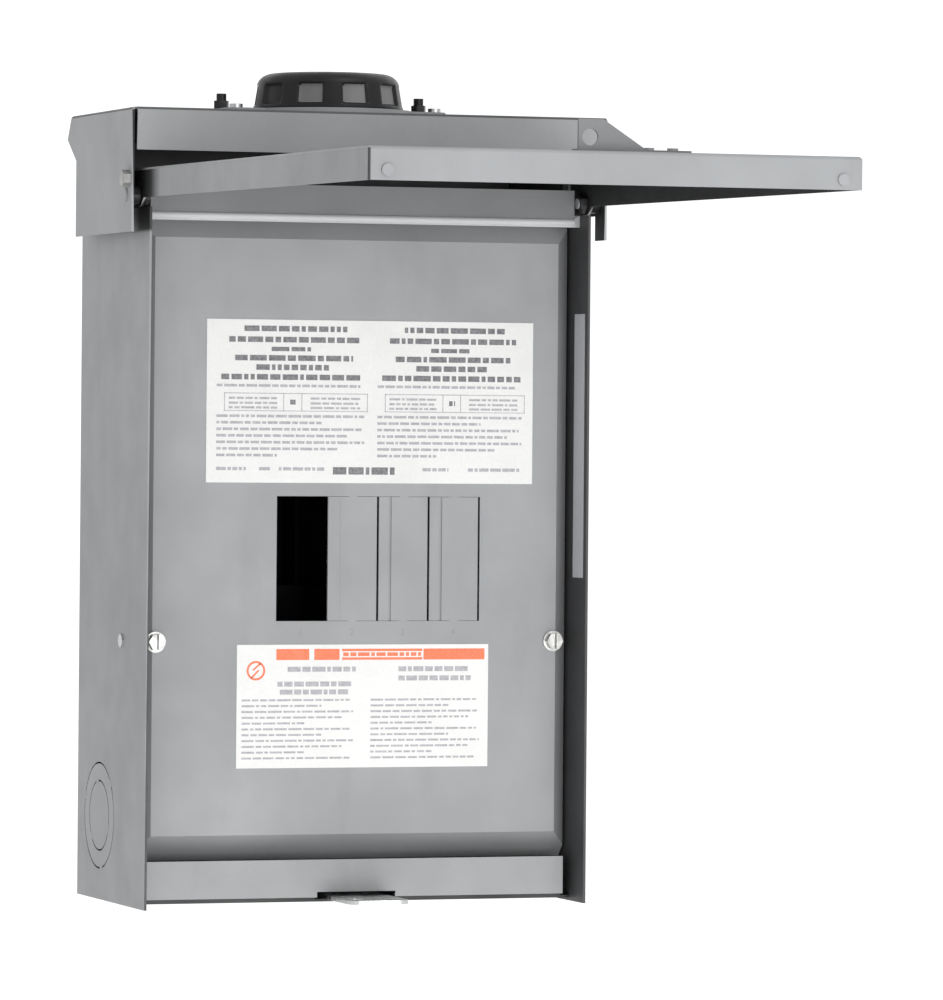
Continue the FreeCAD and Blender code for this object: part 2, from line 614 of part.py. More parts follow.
def make_door():
    """Folded pan, drawn level about the hinge axis: panel up, flanges down, near edge at -Y."""
    body = new_body("door")
    side = new_sketch(body, "door_side", "YZ_Plane")
    reach = "-door_reach"
    outline(side, [(reach, "door_offset - door_flange_near"), (reach, "door_offset"), ("door_tail",
                                                                                       "door_offset"),
                   ("5.4", "-2"), ("3", "-ear_drop"), ("-3", "-ear_drop"),
                   ("-8", "door_offset - door_flange_hinge")])
    width = "box_width + 2 * door_gap + 2 * sheet_steel"
    inner = "box_width + 2 * door_gap"
    pad(body, side, width, centred=True)
    top = size("door_offset")
    rims = edges_where(body, lambda a, b: min(a.z, b.z) > top - 0.01 and not (a.y > 10 and b.y > 10))
    fillet(body, rims, "1.6")
    hollow = new_sketch(body, "door_hollow", "YZ_Plane")
    rectangle(hollow, ("sheet_steel - door_reach", "-ear_drop - 5"), ("door_tail + 5",
                                                                      "door_offset - sheet_steel"))
    pocket(body, hollow, inner, centred=True)
    pins = new_sketch(body, "door_pin_holes", "YZ_Plane")
    circle(pins, "0", "0", "pin_radius + pin_clearance", "pin")
    pocket(body, pins, f"{width} + 10", centred=True)
    tabs = new_sketch(body, "door_corner_tabs", "XZ_Plane", "door_reach - sheet_steel")
    for way in (-1, 1):
        ends = sorted((f"{way} * (box_width / 2 + door_gap)", f"{way} * (box_width / 2 + door_gap - 15)"),
                      key=size)
        rectangle(tabs, (ends[0], "door_offset - door_flange_near + 1"), (ends[1], "door_offset - sheet_steel"),
                  f"tab{way + 1}")
    pad(body, tabs, "sheet_steel", backward=True)
    slot = new_sketch(body, "door_slot", "XY_Plane", "door_offset + 3")
    rectangle(slot, ("-door_slot_half", "door_slot_near - door_reach"), ("door_slot_half",
                                                                         "door_slot_far - door_reach"))
    pocket(body, slot, "3 + 2 * sheet_steel")
    rivets = new_sketch(body, "door_rivet_holes", "XZ_Plane", "door_reach + 3")
    for way in (-1, 1):
        circle(rivets, f"{way} * (box_width / 2 - 6.5)", "door_offset - 10", "1.3", f"rivet{way + 1}")
    pocket(body, rivets, "3 + 3 * sheet_steel")
    pull = new_sketch(body, "door_pull_holes", "XY_Plane", "door_offset + 3")
    for index, x in enumerate(PULL_RIVETS):
        circle(pull, x, "door_slot_far - door_reach + 4.4", "pull_rivet_radius", f"rivet{index}")
    pocket(body, pull, "3 + 2 * sheet_steel")
    finish(body, "door", on_door=True)


def make_door_pull():
    """Bracket on the door's near edge: a riveted foot and an upright ear with a padlock hole."""
    body = new_body("door_pull")
    seat = "door_slot_far - door_reach"
    foot = new_sketch(body, "pull_foot", "XY_Plane", "door_offset")
    rectangle(foot, ("-13.5", seat), ("38", f"{seat} + 8"))
    pad(body, foot, "sheet_steel")
    ear = new_sketch(body, "pull_ear", "XZ_Plane", "door_reach - door_slot_far")
    outline(ear, [("-13.5", "door_offset"), ("17.5", "door_offset"), ("17.5", "door_offset + sheet_steel"),
                  ("-2.2", "door_offset + 13.9"), ("-13.5", "door_offset + 13.9")])
    pad(body, ear, "sheet_steel", backward=True)
    hole = new_sketch(body, "pull_hole", "XZ_Plane", "door_reach")
    circle(hole, "padlock_across", "door_offset + padlock_ahead", "padlock_radius", "padlock")
    pocket(body, hole, "30")
    sockets = new_sketch(body, "pull_rivet_holes", "XY_Plane", "door_offset + 3")
    for index, x in enumerate(PULL_RIVETS):
        circle(sockets, x, f"{seat} + 4.4", "pull_rivet_radius", f"rivet{index}")
    pocket(body, sockets, "5")
    finish(body, "door_pull", on_door=True)
    solids = []
    for index, x in enumerate(PULL_RIVETS):
        y = f"{seat} + 4.4"
        stem = rod(f"pull_rivet{index}_stem", "Z", (x, y, "door_offset - sheet_steel - 0.9"),
                   "pull_rivet_radius - 0.05", "2 * sheet_steel + 1")
        head = rod(f"pull_rivet{index}_head", "Z", (x, y, "door_offset + sheet_steel"), "2.4", "1.1")
        tail = rod(f"pull_rivet{index}_tail", "Z", (x, y, "door_offset - sheet_steel - 0.9"), "2.2", "0.9")
        solids.append(fuse(f"pull_rivet{index}", [stem, head, tail]))
    finish(group("door_pull_rivets", solids), "door_pull_rivets", on_door=True)


def make_door_corner_rivets():
    """Rivets that close the pan's two near corners."""
    solids = []
    for way in (-1, 1):
        x = f"{way} * (box_width / 2 - 6.5)"
        stem = rod(f"corner_stem{way + 1}", "Y", (x, "-door_reach - 0.1", "door_offset - 10"), "1.25",
                   "2 * sheet_steel + 0.2")
        head = rod(f"corner_head{way + 1}", "Y", (x, "-door_reach - 0.9", "door_offset - 10"), "2.6", "0.9")
        tail = rod(f"corner_tail{way + 1}", "Y", (x, "2 * sheet_steel - door_reach", "door_offset - 10"),
                   "2.1", "0.8")
        solids.append(fuse(f"corner_rivet{way + 1}", [stem, head, tail]))
    finish(group("door_corner_rivets", solids), "door_corner_rivets", on_door=True)


def make_hinge():
    """Shoulder pins through the skirts, spacers that centre the door, nuts and stay screws."""
    pins, spacers, nuts, stays = [], [], [], []
    skirt = "box_width / 2 + skirt_gap"
    for name, way in (("left", -1), ("right", 1)):
        tip = "box_width / 2 - 3.4"
        y, z = "hinge_depth", "hinge_height"

        def along(near, far):
            return sorted((f"{way} * ({near})", f"{way} * ({far})"), key=size)

        low, high = along(tip, skirt)
        stem = rod(f"pin_{name}_stem", "X", (low, y, z), "pin_radius", f"({high}) - ({low})")
        low, high = along(skirt, f"{skirt} + 0.8")
        head = rod(f"pin_{name}_head", "X", (low, y, z), "3.2", "0.8")
        pins.append(fuse(f"pin_{name}", [stem, head]))
        low, high = along(f"{skirt} - sheet_steel", skirt)
        shank = rod(f"stay_{name}_shank", "X", (low, "stay_depth", "stay_height"), "stay_radius",
                    f"({high}) - ({low})")
        low, high = along(skirt, f"{skirt} + 3.6")
        head = hexagon(f"stay_{name}_head", "X", (low, "stay_depth", "stay_height"), "7", "3.6")
        stays.append(fuse(f"stay_{name}", [shank, head]))
        low, high = along("box_width / 2 + door_gap + sheet_steel + 0.3", f"{skirt} - sheet_steel")
        outer = rod(f"spacer_{name}_outer", "X", (low, y, z), "4.5", f"({high}) - ({low})")
        bore = rod(f"spacer_{name}_bore", "X", (f"{low} - 1", y, z), "pin_radius + 0.05", "8")
        spacers.append(cut(f"spacer_{name}", outer, [bore]))
        low, high = along("box_width / 2 - 2.6", "box_width / 2 + door_gap - 0.3")
        outer = hexagon(f"nut_{name}_outer", "X", (low, y, z), "8", f"({high}) - ({low})")
        bore = rod(f"nut_{name}_bore", "X", (f"{low} - 1", y, z), "pin_radius + 0.05", "8")
        nuts.append(cut(f"nut_{name}", outer, [bore]))
    finish(group("hinge_pins", pins), "hinge_pins")
    finish(group("hinge_spacers", spacers), "hinge_spacers")
    finish(group("hinge_nuts", nuts), "hinge_nuts")
    finish(group("stay_screws", stays), "stay_screws")


# Dead front ----------------------------------------------------------------------------------

def make_dead_front():
    """Pan with its face forward, bevelled all round, and one breaker opening."""
    body = new_body("dead_front")
    face = new_sketch(body, "face_outline", "XZ_Plane", "-face_depth")
    rectangle(face, ("-face_half", "face_low"), ("face_half", "face_high"))
    pad(body, face, "face_skirt", backward=True)
    front = size("face_depth")
    middle = size("window_low")

    def on_front(a, b):
        return max(a.y, b.y) < front + 0.01

    def upright(a, b):
        return on_front(a, b) and abs(a.x - b.x) < 0.01

    def upper(a, b):
        return on_front(a, b) and min(a.z, b.z) > middle and abs(a.z - b.z) < 0.01

    def lower(a, b):
        return on_front(a, b) and max(a.z, b.z) < middle and abs(a.z - b.z) < 0.01

    for test, amount in ((upright, "face_bevel_side"), (upper, "face_bevel_top"), (lower, "face_bevel_low")):
        chamfer(body, edges_where(body, test), amount)
    rear = size("face_depth + face_skirt")
    back = [f"Face{index}" for index, item in enumerate(body.Shape.Faces, start=1)
            if item.CenterOfMass.y > rear - 0.01]
    tip = body.Tip
    shell = body.newObject("PartDesign::Thickness", "face_shell")
    shell.Base = (tip, back)
    shell.Reversed = True
    bind(shell, "Value", "sheet_steel")
    doc.recompute()
    window = new_sketch(body, "face_window", "XZ_Plane", "-face_depth + 2")
    rectangle(window, ("window_left", "window_low"), ("window_left + 4 * pole_pitch", "window_high"))
    pocket(body, window, "2 + 2 * sheet_steel")
    holes = new_sketch(body, "face_screw_holes", "XZ_Plane", "-face_depth + 2")
    for way in (-1, 1):
        circle(holes, f"{way} * face_screw_half", "face_screw_height", "2.6", f"screw{way + 1}")
    pocket(body, holes, "2 + 2 * sheet_steel")
    finish(body, "dead_front")


def make_twistouts():
    """Three break-out plates beside the opened space, each hung on two small nibs."""
    for pole in (2, 3, 4):
        left = f"window_left + {pole - 1} * pole_pitch + 0.1"
        right = f"window_left + {pole} * pole_pitch - slit"
        deep = ("face_depth", "face_depth + sheet_steel")
        plate = block(f"plate{pole}", (left, right), deep, ("window_low + 0.15", "window_high - 0.15"))
        middle = f"window_left + {pole - 0.5} * pole_pitch"
        nibs = []
        for name, low, high in (("foot", "window_low", "window_low + 0.4"),
                                ("head", "window_high - 0.4", "window_high")):
            nibs.append(block(f"nib{pole}_{name}", (f"{middle} - 2", f"{middle} + 2"), deep, (low, high)))
        blank = fuse(f"twistout{pole}_blank", [plate] + nibs)
        crease = block(f"crease{pole}", (f"{left} + 5", f"{left} + 5 + crease_width"),
                       ("face_depth - 1", f"face_depth + {0.1 if pole == 2 else 0.6}"),
                       ("window_low - 1", "window_high + 1"))
        finish(cut(f"twistout_{pole}", blank, [crease]), f"twistout_{pole}")


def make_face_fixings():
    """Dead front screws, the wall brackets that take them and the brackets' rivets."""
    screws, brackets, rivets = [], [], []
    for name, way in (("left", -1), ("right", 1)):
        x = f"{way} * face_screw_half"
        washer = rod(f"face_screw_{name}_washer", "Y", (x, "face_depth - 0.9", "face_screw_height"), "4.9",
                     "0.9")
        head = hexagon(f"face_screw_{name}_head", "Y", (x, "face_depth - 3.9", "face_screw_height"), "7", "3.2")
        stem = rod(f"face_screw_{name}_stem", "Y", (x, "face_depth - 1", "face_screw_height"), "2.1", "23")
        groove = block(f"face_screw_{name}_slot", (f"{x} - 0.7", f"{x} + 0.7"), ("face_depth - 5",
                                                                                 "face_depth - 2.4"),
                       ("face_screw_height - 6", "face_screw_height + 6"))
        screws.append(cut(f"face_screw_{name}", fuse(f"face_screw_{name}_blank", [washer, head, stem]),
                          [groove]))
        wall = f"{way} * (box_width / 2 - sheet_steel)"
        inner = f"{way} * (face_screw_half - 8)"
        leg = f"{wall} - {way} * 1.5"
        plate = block(f"face_bracket_{name}_plate", sorted((inner, wall), key=size),
                      ("bracket_depth", "bracket_depth + 1.5"), ("face_screw_height - 12",
                                                                 "face_screw_height + 12"))
        foot = block(f"face_bracket_{name}_foot", sorted((leg, wall), key=size),
                     ("bracket_depth", "bracket_depth + 12"), ("face_screw_height - 12",
                                                               "face_screw_height + 12"))
        blank = fuse(f"face_bracket_{name}_blank", [plate, foot])
        tools = [rod(f"face_bracket_{name}_hole", "Y", (x, "bracket_depth - 1", "face_screw_height"),
                     "2.15", "6"),
                 rod(f"face_bracket_{name}_rivet_hole", "X",
                     (f"{wall} - 4", "bracket_depth + 4.5", "face_screw_height"), "1.6", "8")]
        brackets.append(cut(f"face_bracket_{name}", blank, tools))
        outside = f"{way} * box_width / 2"
        low, high = sorted((f"{leg} - {way} * 0.8", outside), key=size)
        stem = rod(f"face_rivet_{name}_stem", "X", (low, "bracket_depth + 4.5", "face_screw_height"), "1.55",
                   f"({high}) - ({low})")
        low, high = sorted((outside, f"{outside} + {way} * 0.9"), key=size)
        head = rod(f"face_rivet_{name}_head", "X", (low, "bracket_depth + 4.5", "face_screw_height"),
                   "3.2", "0.9")
        low, high = sorted((f"{leg} - {way} * 0.8", leg), key=size)
        tail = rod(f"face_rivet_{name}_tail", "X", (low, "bracket_depth + 4.5", "face_screw_height"),
                   "2.4", "0.8")
        rivets.append(fuse(f"face_rivet_{name}", [stem, head, tail]))
    finish(group("dead_front_screws", screws), "dead_front_screws")
    finish(group("dead_front_brackets", brackets), "dead_front_brackets")
    finish(group("bracket_rivets", rivets), "bracket_rivets")


def make_labels():
    """Paper labels on the dead front and on the inside of the right wall."""
    skin = ("face_depth - 0.2", "face_depth")
    finish(group("rating", [block("rating_sheet", ("-75", "88"), skin, ("199.5", "276.5"))]), "rating_label")
    finish(group("warning", [block("warning_sheet", ("-59", "66.5"), skin, ("64.7", "123"))]), "warning_label")
    wall = "box_width / 2 - sheet_steel"
    strip = block("strip_sheet", (f"{wall} - 0.2", wall), ("5.6", "19.4"), ("155", "281"))
    finish(group("strip", [strip]), "side_label")


# Interior ------------------------------------------------------------------------------------

def make_pan():
    """Hat-section mounting pan screwed to the back wall."""
    back = "box_depth - sheet_steel"
    tall = ("pan_low", "pan_high")
    pieces = [block("pan_plate", ("pan_left", "pan_right"), ("pan_depth", "pan_depth + sheet_steel"), tall)]
    for name, edge, way in (("left", "pan_left", -1), ("right", "pan_right", 1)):
        leg = sorted((edge, f"{edge} - {way} * sheet_steel"), key=size)
        pieces.append(block(f"pan_{name}_leg", leg, ("pan_depth", back), tall))
        foot = sorted((edge, f"{edge} + {way} * 12"), key=size)
        pieces.append(block(f"pan_{name}_foot", foot, (f"{back} - sheet_steel", back), tall))
    blank = fuse("pan_blank", pieces)
    tools, screws = [], []
    for column, x in enumerate(("pan_left - 6.5", "pan_right + 6.5")):
        for row, z in enumerate(("pan_low + 14", "pan_high - 14")):
            tools.append(rod(f"pan_hole{column}{row}", "Y", (x, f"{back} - 4", z), "2.2", "6"))
            screws.append(screw(f"pan_screw{column}{row}", "+Y", (x, f"{back} - sheet_steel", z), 3.8, 2.2,
                                2.1, 1.2,
                                slot=1.0))
    finish(cut("interior_pan", blank, tools), "interior_pan")
    finish(group("interior_screws", screws), "interior_screws")


def make_interior_base():
    """Moulded insulating base with a barrier between neighbouring poles, and the bus cover."""
    left = "window_left - 4"
    right = "window_left + 4 * pole_pitch + 4"
    rear = "bus_front + 2 * bus_thick + bus_gap"
    pieces = [block("base_slab", (left, right), (rear, "pan_depth"), ("140", "244"))]
    for pole in range(5):
        x = f"window_left + {pole} * pole_pitch"
        pieces.append(block(f"base_barrier{pole}", (f"{x} - 1", f"{x} + 1"), ("70", f"{rear} + 1"), ("150",
                                                                                                     "194")))
    pieces.append(block("base_foot", (left, right), ("66", f"{rear} + 1"), ("131", "150")))
    stilt = ("bus_front + bus_thick", f"{rear} + 1")
    for index, (x0, x1) in enumerate((("-36", "-22"), ("46", "58"))):
        pieces.append(block(f"base_stilt{index}", (x0, x1), stilt, ("bus_a_low", "bus_a_low + bus_width")))
    pieces.append(block("base_lug_stilt", ("-21", "-7"), stilt, ("228", "244")))
    finish(fuse("interior_base", pieces), "interior_base")
    cover = [block("cover_front", (left, right), ("56", "58"), ("226", "246")),
             block("cover_left_leg", (left, f"{left} + 2"), ("56", rear), ("226", "246")),
             block("cover_right_leg", (f"{right} - 2", right), ("56", rear), ("226", "246"))]
    finish(fuse("bus_cover", cover), "bus_cover")


def bus_bar(name, low, front, poles, riser):
    """A cross bar with one stab for each listed pole, and a riser up to its lug pad."""
    span = ("window_left + 2", "window_left + 4 * pole_pitch - 2")
    deep = (front, f"{front} + bus_thick")
    pieces = [block(f"{name}_bar", span, deep, (low, f"{low} + bus_width")),
              block(f"{name}_riser", (f"{riser} - 7", f"{riser} + 7"), deep, (low, "276"))]
    for pole in poles:
        x = f"window_left + {pole - 0.5} * pole_pitch"
        pieces.append(block(f"{name}_stab{pole}", (f"{x} - stab_thick / 2", f"{x} + stab_thick / 2"),
                            ("bus_front - stab_reach", f"{front} + 0.5"), (low, f"{low} + bus_width")))
    finish(fuse(name, pieces), name)


def make_bus():
    """Two line bus bars, one behind the other where they cross, and the breaker hook rail."""
    bus_bar("line_bus_a", "bus_a_low", "bus_front", (1, 3), "-14")
    bus_bar("line_bus_b", "bus_b_low", "bus_front + bus_thick + bus_gap", (2, 4), "36")
    x = ("window_left - 2", "window_left + 4 * pole_pitch + 2")
    pieces = [block("hook_plate", x, ("92", "pan_depth"), ("112", "124")),
              block("hook_web", x, ("72", "93"), ("112", "113.6"))]
    for pole in range(1, 5):
        middle = f"window_left + {pole - 0.5} * pole_pitch"
        pieces.append(block(f"hook{pole}", (f"{middle} - 6", f"{middle} + 6"), ("72", "73.6"), ("112", "121")))
    finish(fuse("breaker_hook_rail", pieces), "breaker_hook_rail")


def lug(name, x, rear, low):
    """An aluminium lug block: wire bore from above and a clamping screw from the front."""
    blank = block(f"{name}_block", (f"{x} - lug_half", f"{x} + lug_half"), (f"{rear} - lug_deep", rear),
                  (low, f"{low} + lug_height"))
    middle = f"{rear} - lug_deep / 2 + 1.5"
    wire = rod(f"{name}_wire_bore", "Z", (x, middle, f"{low} - 1"), "lug_bore", "lug_height + 2")
    seat = rod(f"{name}_screw_bore", "Y", (x, f"{rear} - lug_deep - 1", f"{low} + lug_height / 2"), "4", "6.5")
    body = cut(name, blank, [wire, seat])
    stud = rod(f"{name}_stud", "Y", (x, f"{rear} - lug_deep - 3", f"{low} + lug_height / 2"), "3.9", "5")
    socket = hexagon(f"{name}_socket", "Y", (x, f"{rear} - lug_deep - 4", f"{low} + lug_height / 2"), "4",
                     "3.5")
    return body, cut(f"{name}_screw", stud, [socket])


def make_lugs():
    """Main lugs on the two risers."""
    lug_a, screw_a = lug("lug_a", "-14", "bus_front", "250")
    lug_b, screw_b = lug("lug_b", "36", "bus_front + bus_thick + bus_gap", "250")
    finish(group("lugs", [lug_a, lug_b]), "main_lugs")
    finish(group("lug_screws", [screw_a, screw_b]), "main_lug_screws")


def terminal_bar(name, x, front, low, count):
    """A terminal bar with cross bores for wires and one clamping screw over each."""
    high = f"{low} + {count} * terminal_pitch + 6"
    tools, screws = [], []
    blank = block(f"{name}_block", (f"{x} - bar_thick / 2", f"{x} + bar_thick / 2"), (front,
                                                                                      f"{front} + bar_wide"),
                  (low, high))
    for index in range(count):
        z = f"{low} + 7.5 + {index} * terminal_pitch"
        tools.append(rod(f"{name}_wire{index}", "X", (f"{x} - bar_thick", f"{front} + 7", z), "terminal_bore",
                         "2 * bar_thick"))
        tools.append(rod(f"{name}_seat{index}", "Y", (x, f"{front} - 1", z), "terminal_screw + 0.05", "6"))
        screws.append(screw(f"{name}_screw{index}", "+Y", (x, f"{front} - 0.3", z), 3.1, 1.9, 2.1, 3.6,
                            slot=0.9))
    return cut(f"{name}_body", blank, tools), group(f"{name}_screw_set", screws)


def make_neutral():
    """Neutral bar on two standoffs in the left gutter, its lug, and the bonding strap."""
    bar, screws = terminal_bar("neutral", "-86", "70", "120", 10)
    finish(bar, "neutral_bar")
    finish(screws, "neutral_screws")
    stands = []
    for index, (low, high) in enumerate((("123", "132"), ("213", "228"))):
        stands.append(block(f"standoff{index}", ("-92", "-80"), ("81", "box_depth - sheet_steel"), (low, high)))
    finish(group("standoffs", stands), "neutral_standoffs")
    body, stud = lug("neutral_lug_piece", "-86", "81", "221")
    finish(group("neutral_lug_set", [body]), "neutral_lug")
    finish(group("neutral_stud_set", [stud]), "neutral_lug_screw")
    strap = [block("strap_pad", ("-89", "-83"), ("81", "82.2"), ("104", "122")),
             block("strap_leg", ("-89", "-83"), ("81", "box_depth - sheet_steel"), ("104", "105.2")),
             block("strap_foot", ("-89", "-83"), ("box_depth - 2 * sheet_steel", "box_depth - sheet_steel"),
                   ("88", "105.2"))]
    blank = fuse("strap_blank", strap)
    hole = rod("strap_hole", "Y", ("-86", "box_depth - 6", "95"), "2.2", "6")
    finish(cut("bonding_strap", blank, [hole]), "bonding_strap")
    finish(screw("bonding_screw", "+Y", ("-86", "box_depth - 2 * sheet_steel", "95"), 4.4, 2.6, 2.1, 1.2,
                 slot=1.0),
           "bonding_screw")


def make_ground():
    """Ground bar on the back wall at the lower right."""
    bar, screws = terminal_bar("ground", "84", "box_depth - sheet_steel - bar_wide", "30", 5)
    finish(bar, "ground_bar")
    finish(screws, "ground_screws")


def check_and_export():
    """Refuse failed or empty objects, then write one STEP file for each finished piece."""
    doc.recompute()
    for obj in doc.Objects:
        if {"Invalid", "Error"} & set(obj.State):
            raise RuntimeError(f"{obj.Name} is {obj.State}")
    os.makedirs("parts", exist_ok=True)
    for obj in FINISHED:
        if obj.Shape.isNull() or not obj.Shape.isValid() or not obj.Shape.Solids:
            raise RuntimeError(f"{obj.Label} has no valid solid")
        obj.Shape.exportStep(f"parts/{obj.Label}.step")
        box = obj.Shape.BoundBox
        print(f"{obj.Label:24} solids {len(obj.Shape.Solids):2} volume {obj.Shape.Volume:9.0f} "
              f"x {box.XMin:7.1f} {box.XMax:7.1f} y {box.YMin:7.1f} {box.YMax:7.1f} z {box.ZMin:7.1f} {box.ZMax:7.1f}")


def main():
    """Build every piece in the order in which the panel goes together."""
    make_wrapper()
    make_bottom_endwall()
    make_top_rail()
    make_hasp_tab()
    make_knockouts()
    make_rain_cap()
    make_cap_brackets()
    make_hub()
    make_door()
    make_door_pull()
    make_door_corner_rivets()
    make_hinge()
    make_dead_front()
    make_twistouts()
    make_face_fixings()
    make_labels()
    make_pan()
    make_interior_base()
    make_bus()
    make_lugs()
    make_neutral()
    make_ground()
    check_and_export()


main()
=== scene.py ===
"""Finishes, print and small formed pieces of an outdoor load center, around its fixed frame."""

import json
import logging
import math
from dataclasses import dataclass, field, replace
from enum import Enum

import bpy
import numpy as np
from mathutils import Matrix, Vector


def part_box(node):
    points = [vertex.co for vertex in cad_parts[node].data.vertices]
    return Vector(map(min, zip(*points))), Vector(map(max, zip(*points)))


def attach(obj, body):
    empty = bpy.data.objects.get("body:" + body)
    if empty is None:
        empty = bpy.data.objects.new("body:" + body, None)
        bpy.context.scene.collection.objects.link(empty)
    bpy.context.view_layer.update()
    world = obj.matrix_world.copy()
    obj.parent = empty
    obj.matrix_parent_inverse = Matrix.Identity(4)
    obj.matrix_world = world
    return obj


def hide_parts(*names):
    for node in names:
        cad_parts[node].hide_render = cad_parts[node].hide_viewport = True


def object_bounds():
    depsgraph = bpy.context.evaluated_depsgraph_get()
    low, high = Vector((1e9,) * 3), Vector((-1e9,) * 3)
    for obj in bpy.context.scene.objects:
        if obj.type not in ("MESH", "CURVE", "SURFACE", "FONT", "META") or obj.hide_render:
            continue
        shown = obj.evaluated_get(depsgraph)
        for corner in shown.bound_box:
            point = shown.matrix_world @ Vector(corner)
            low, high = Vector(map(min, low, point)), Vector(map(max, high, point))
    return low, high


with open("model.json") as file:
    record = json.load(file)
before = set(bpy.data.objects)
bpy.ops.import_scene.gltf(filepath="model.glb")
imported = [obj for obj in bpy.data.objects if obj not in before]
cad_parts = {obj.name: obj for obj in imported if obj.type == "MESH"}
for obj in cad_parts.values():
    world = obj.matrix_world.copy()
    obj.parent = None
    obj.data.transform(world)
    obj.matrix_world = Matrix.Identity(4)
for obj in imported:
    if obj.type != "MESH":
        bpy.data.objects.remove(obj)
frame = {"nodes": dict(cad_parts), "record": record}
CAD_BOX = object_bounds()

logging.basicConfig(level=logging.INFO, format="%(message)s")
LOG = logging.getLogger("load_center")

Colour = tuple[float, float, float]
Socket = bpy.types.NodeSocket
MM = 0.001
SKIN = 0.6 * MM  # half the thickness of the sheet steel


class Rides(Enum):
    """The CAD body that a new piece moves with."""

    BOX = "box"
    DOOR = "door"


class Slot(Enum):
    """Three of the record's material slots; nothing in this script uses them."""

    PAINT = "painted_grey"
    MOULDED = "black_plastic"
    PAPER = "label_paper"


class Graph:
    """Writes the nodes of one material, all on Object coordinates."""

    def __init__(self, name: str) -> None:
        """Start a material with a Principled shader.

        Args:
            name: the material's name.
        """
        self.material = bpy.data.materials.new(name)
        self.material.use_nodes = True
        self.tree = self.material.node_tree
        self.tree.nodes.clear()
        self.shader = self.add("ShaderNodeBsdfPrincipled")
        output = self.add("ShaderNodeOutputMaterial")
        self.tree.links.new(self.shader.outputs["BSDF"], output.inputs["Surface"])
        self.place = self.add("ShaderNodeTexCoord").outputs["Object"]

    def add(self, kind: str, **settings: object) -> bpy.types.Node:
        """Add one node and set its named properties.

        Args:
            kind: the node's type name.
            settings: properties of the node.

        Returns:
            The new node.
        """
        node = self.tree.nodes.new(kind)
        for key, value in settings.items():
            setattr(node, key, value)
        return node

    def stretched(self, scale: tuple[float, float, float]) -> Socket:
        """Object coordinates multiplied along each axis.

        Args:
            scale: factor on X, Y and Z.

        Returns:
            A vector socket.
        """
        mapping = self.add("ShaderNodeMapping")
        mapping.inputs["Scale"].default_value = scale
        self.tree.links.new(self.place, mapping.inputs["Vector"])
        return mapping.outputs["Vector"]

    def along(self, axis: str) -> Socket:
        """One of the Object coordinates.

        Args:
            axis: X, Y or Z.

        Returns:
            A value socket.
        """
        parts = self.add("ShaderNodeSeparateXYZ")
        self.tree.links.new(self.place, parts.inputs["Vector"])
        return parts.outputs[axis]

    def largest(self, values: list[Socket]) -> Socket:
        """The largest of several values.

        Args:
            values: one or more value sockets.

        Returns:
            A value socket.
        """
        best = values[0]
        for value in values[1:]:
            node = self.add("ShaderNodeMath", operation="MAXIMUM")
            self.tree.links.new(best, node.inputs[0])
            self.tree.links.new(value, node.inputs[1])
            best = node.outputs["Value"]
        return best

    def noise(self, scale: float, detail: float = 3.0, vector: Socket | None = None) -> Socket:
        """Fractal noise.

        Args:
            scale: cells per metre.
            detail: octaves.
            vector: coordinates, Object coordinates if left out.

        Returns:
            The noise's factor socket.
        """
        node = self.add("ShaderNodeTexNoise")
        node.inputs["Scale"].default_value = scale
        node.inputs["Detail"].default_value = detail
        self.tree.links.new(vector or self.place, node.inputs["Vector"])
        return node.outputs["Fac"]

    def remap(self, socket: Socket, low: float, high: float, start: float = 0.3,
              end: float = 0.7) -> Socket:
        """A value carried from one range to another, held at its ends.

        Args:
            socket: the value.
            low: result at start.
            high: result at end.
            start: lower end of the value's range.
            end: upper end of the value's range.

        Returns:
            The new value's socket.
        """
        node = self.add("ShaderNodeMapRange")
        node.inputs["From Min"].default_value = start
        node.inputs["From Max"].default_value = end
        node.inputs["To Min"].default_value = low
        node.inputs["To Max"].default_value = high
        self.tree.links.new(socket, node.inputs["Value"])
        return node.outputs["Result"]

    def blend(self, factor: Socket, first: Colour, second: Colour) -> Socket:
        """A colour between two by a factor.

        Args:
            factor: 0 gives first, 1 gives second.
            first: one colour.
            second: the other colour.

        Returns:
            A colour socket.
        """
        node = self.add("ShaderNodeMix", data_type="RGBA")
        node.inputs["A"].default_value = (*first, 1.0)
        node.inputs["B"].default_value = (*second, 1.0)
        self.tree.links.new(factor, node.inputs["Factor"])
        return node.outputs["Result"]

    def darken(self, base: Socket, factor: Socket) -> Socket:
        """A colour multiplied by a grey value.

        Args:
            base: the colour.
            factor: the value it is multiplied by.

        Returns:
            A colour socket.
        """
        node = self.add("ShaderNodeMix", data_type="RGBA", blend_type="MULTIPLY")
        node.inputs["Factor"].default_value = 1.0
        self.tree.links.new(base, node.inputs["A"])
        self.tree.links.new(factor, node.inputs["B"])
        return node.outputs["Result"]

    def feed(self, name: str, socket: Socket) -> None:
        """Link a socket to one input of the shader.

        Args:
            name: the input.
            socket: what it is linked to.
        """
        self.tree.links.new(socket, self.shader.inputs[name])

    def fix(self, name: str, value: float) -> None:
        """Set one input of the shader to the same value all over.

        Args:
            name: the input.
            value: its value.
        """
        self.shader.inputs[name].default_value = value

    def relief(self, layers: list[tuple[Socket, float]]) -> None:
        """Bump from several heights, one after another.

        Args:
            layers: pairs of a height socket and the height's span in metres.
        """
        normal = None
        for socket, distance in layers:
            node = self.add("ShaderNodeBump")
            node.inputs["Distance"].default_value = distance
            self.tree.links.new(socket, node.inputs["Height"])
            if normal is not None:
                self.tree.links.new(normal, node.inputs["Normal"])
            normal = node.outputs["Normal"]
        self.tree.links.new(normal, self.shader.inputs["Normal"])


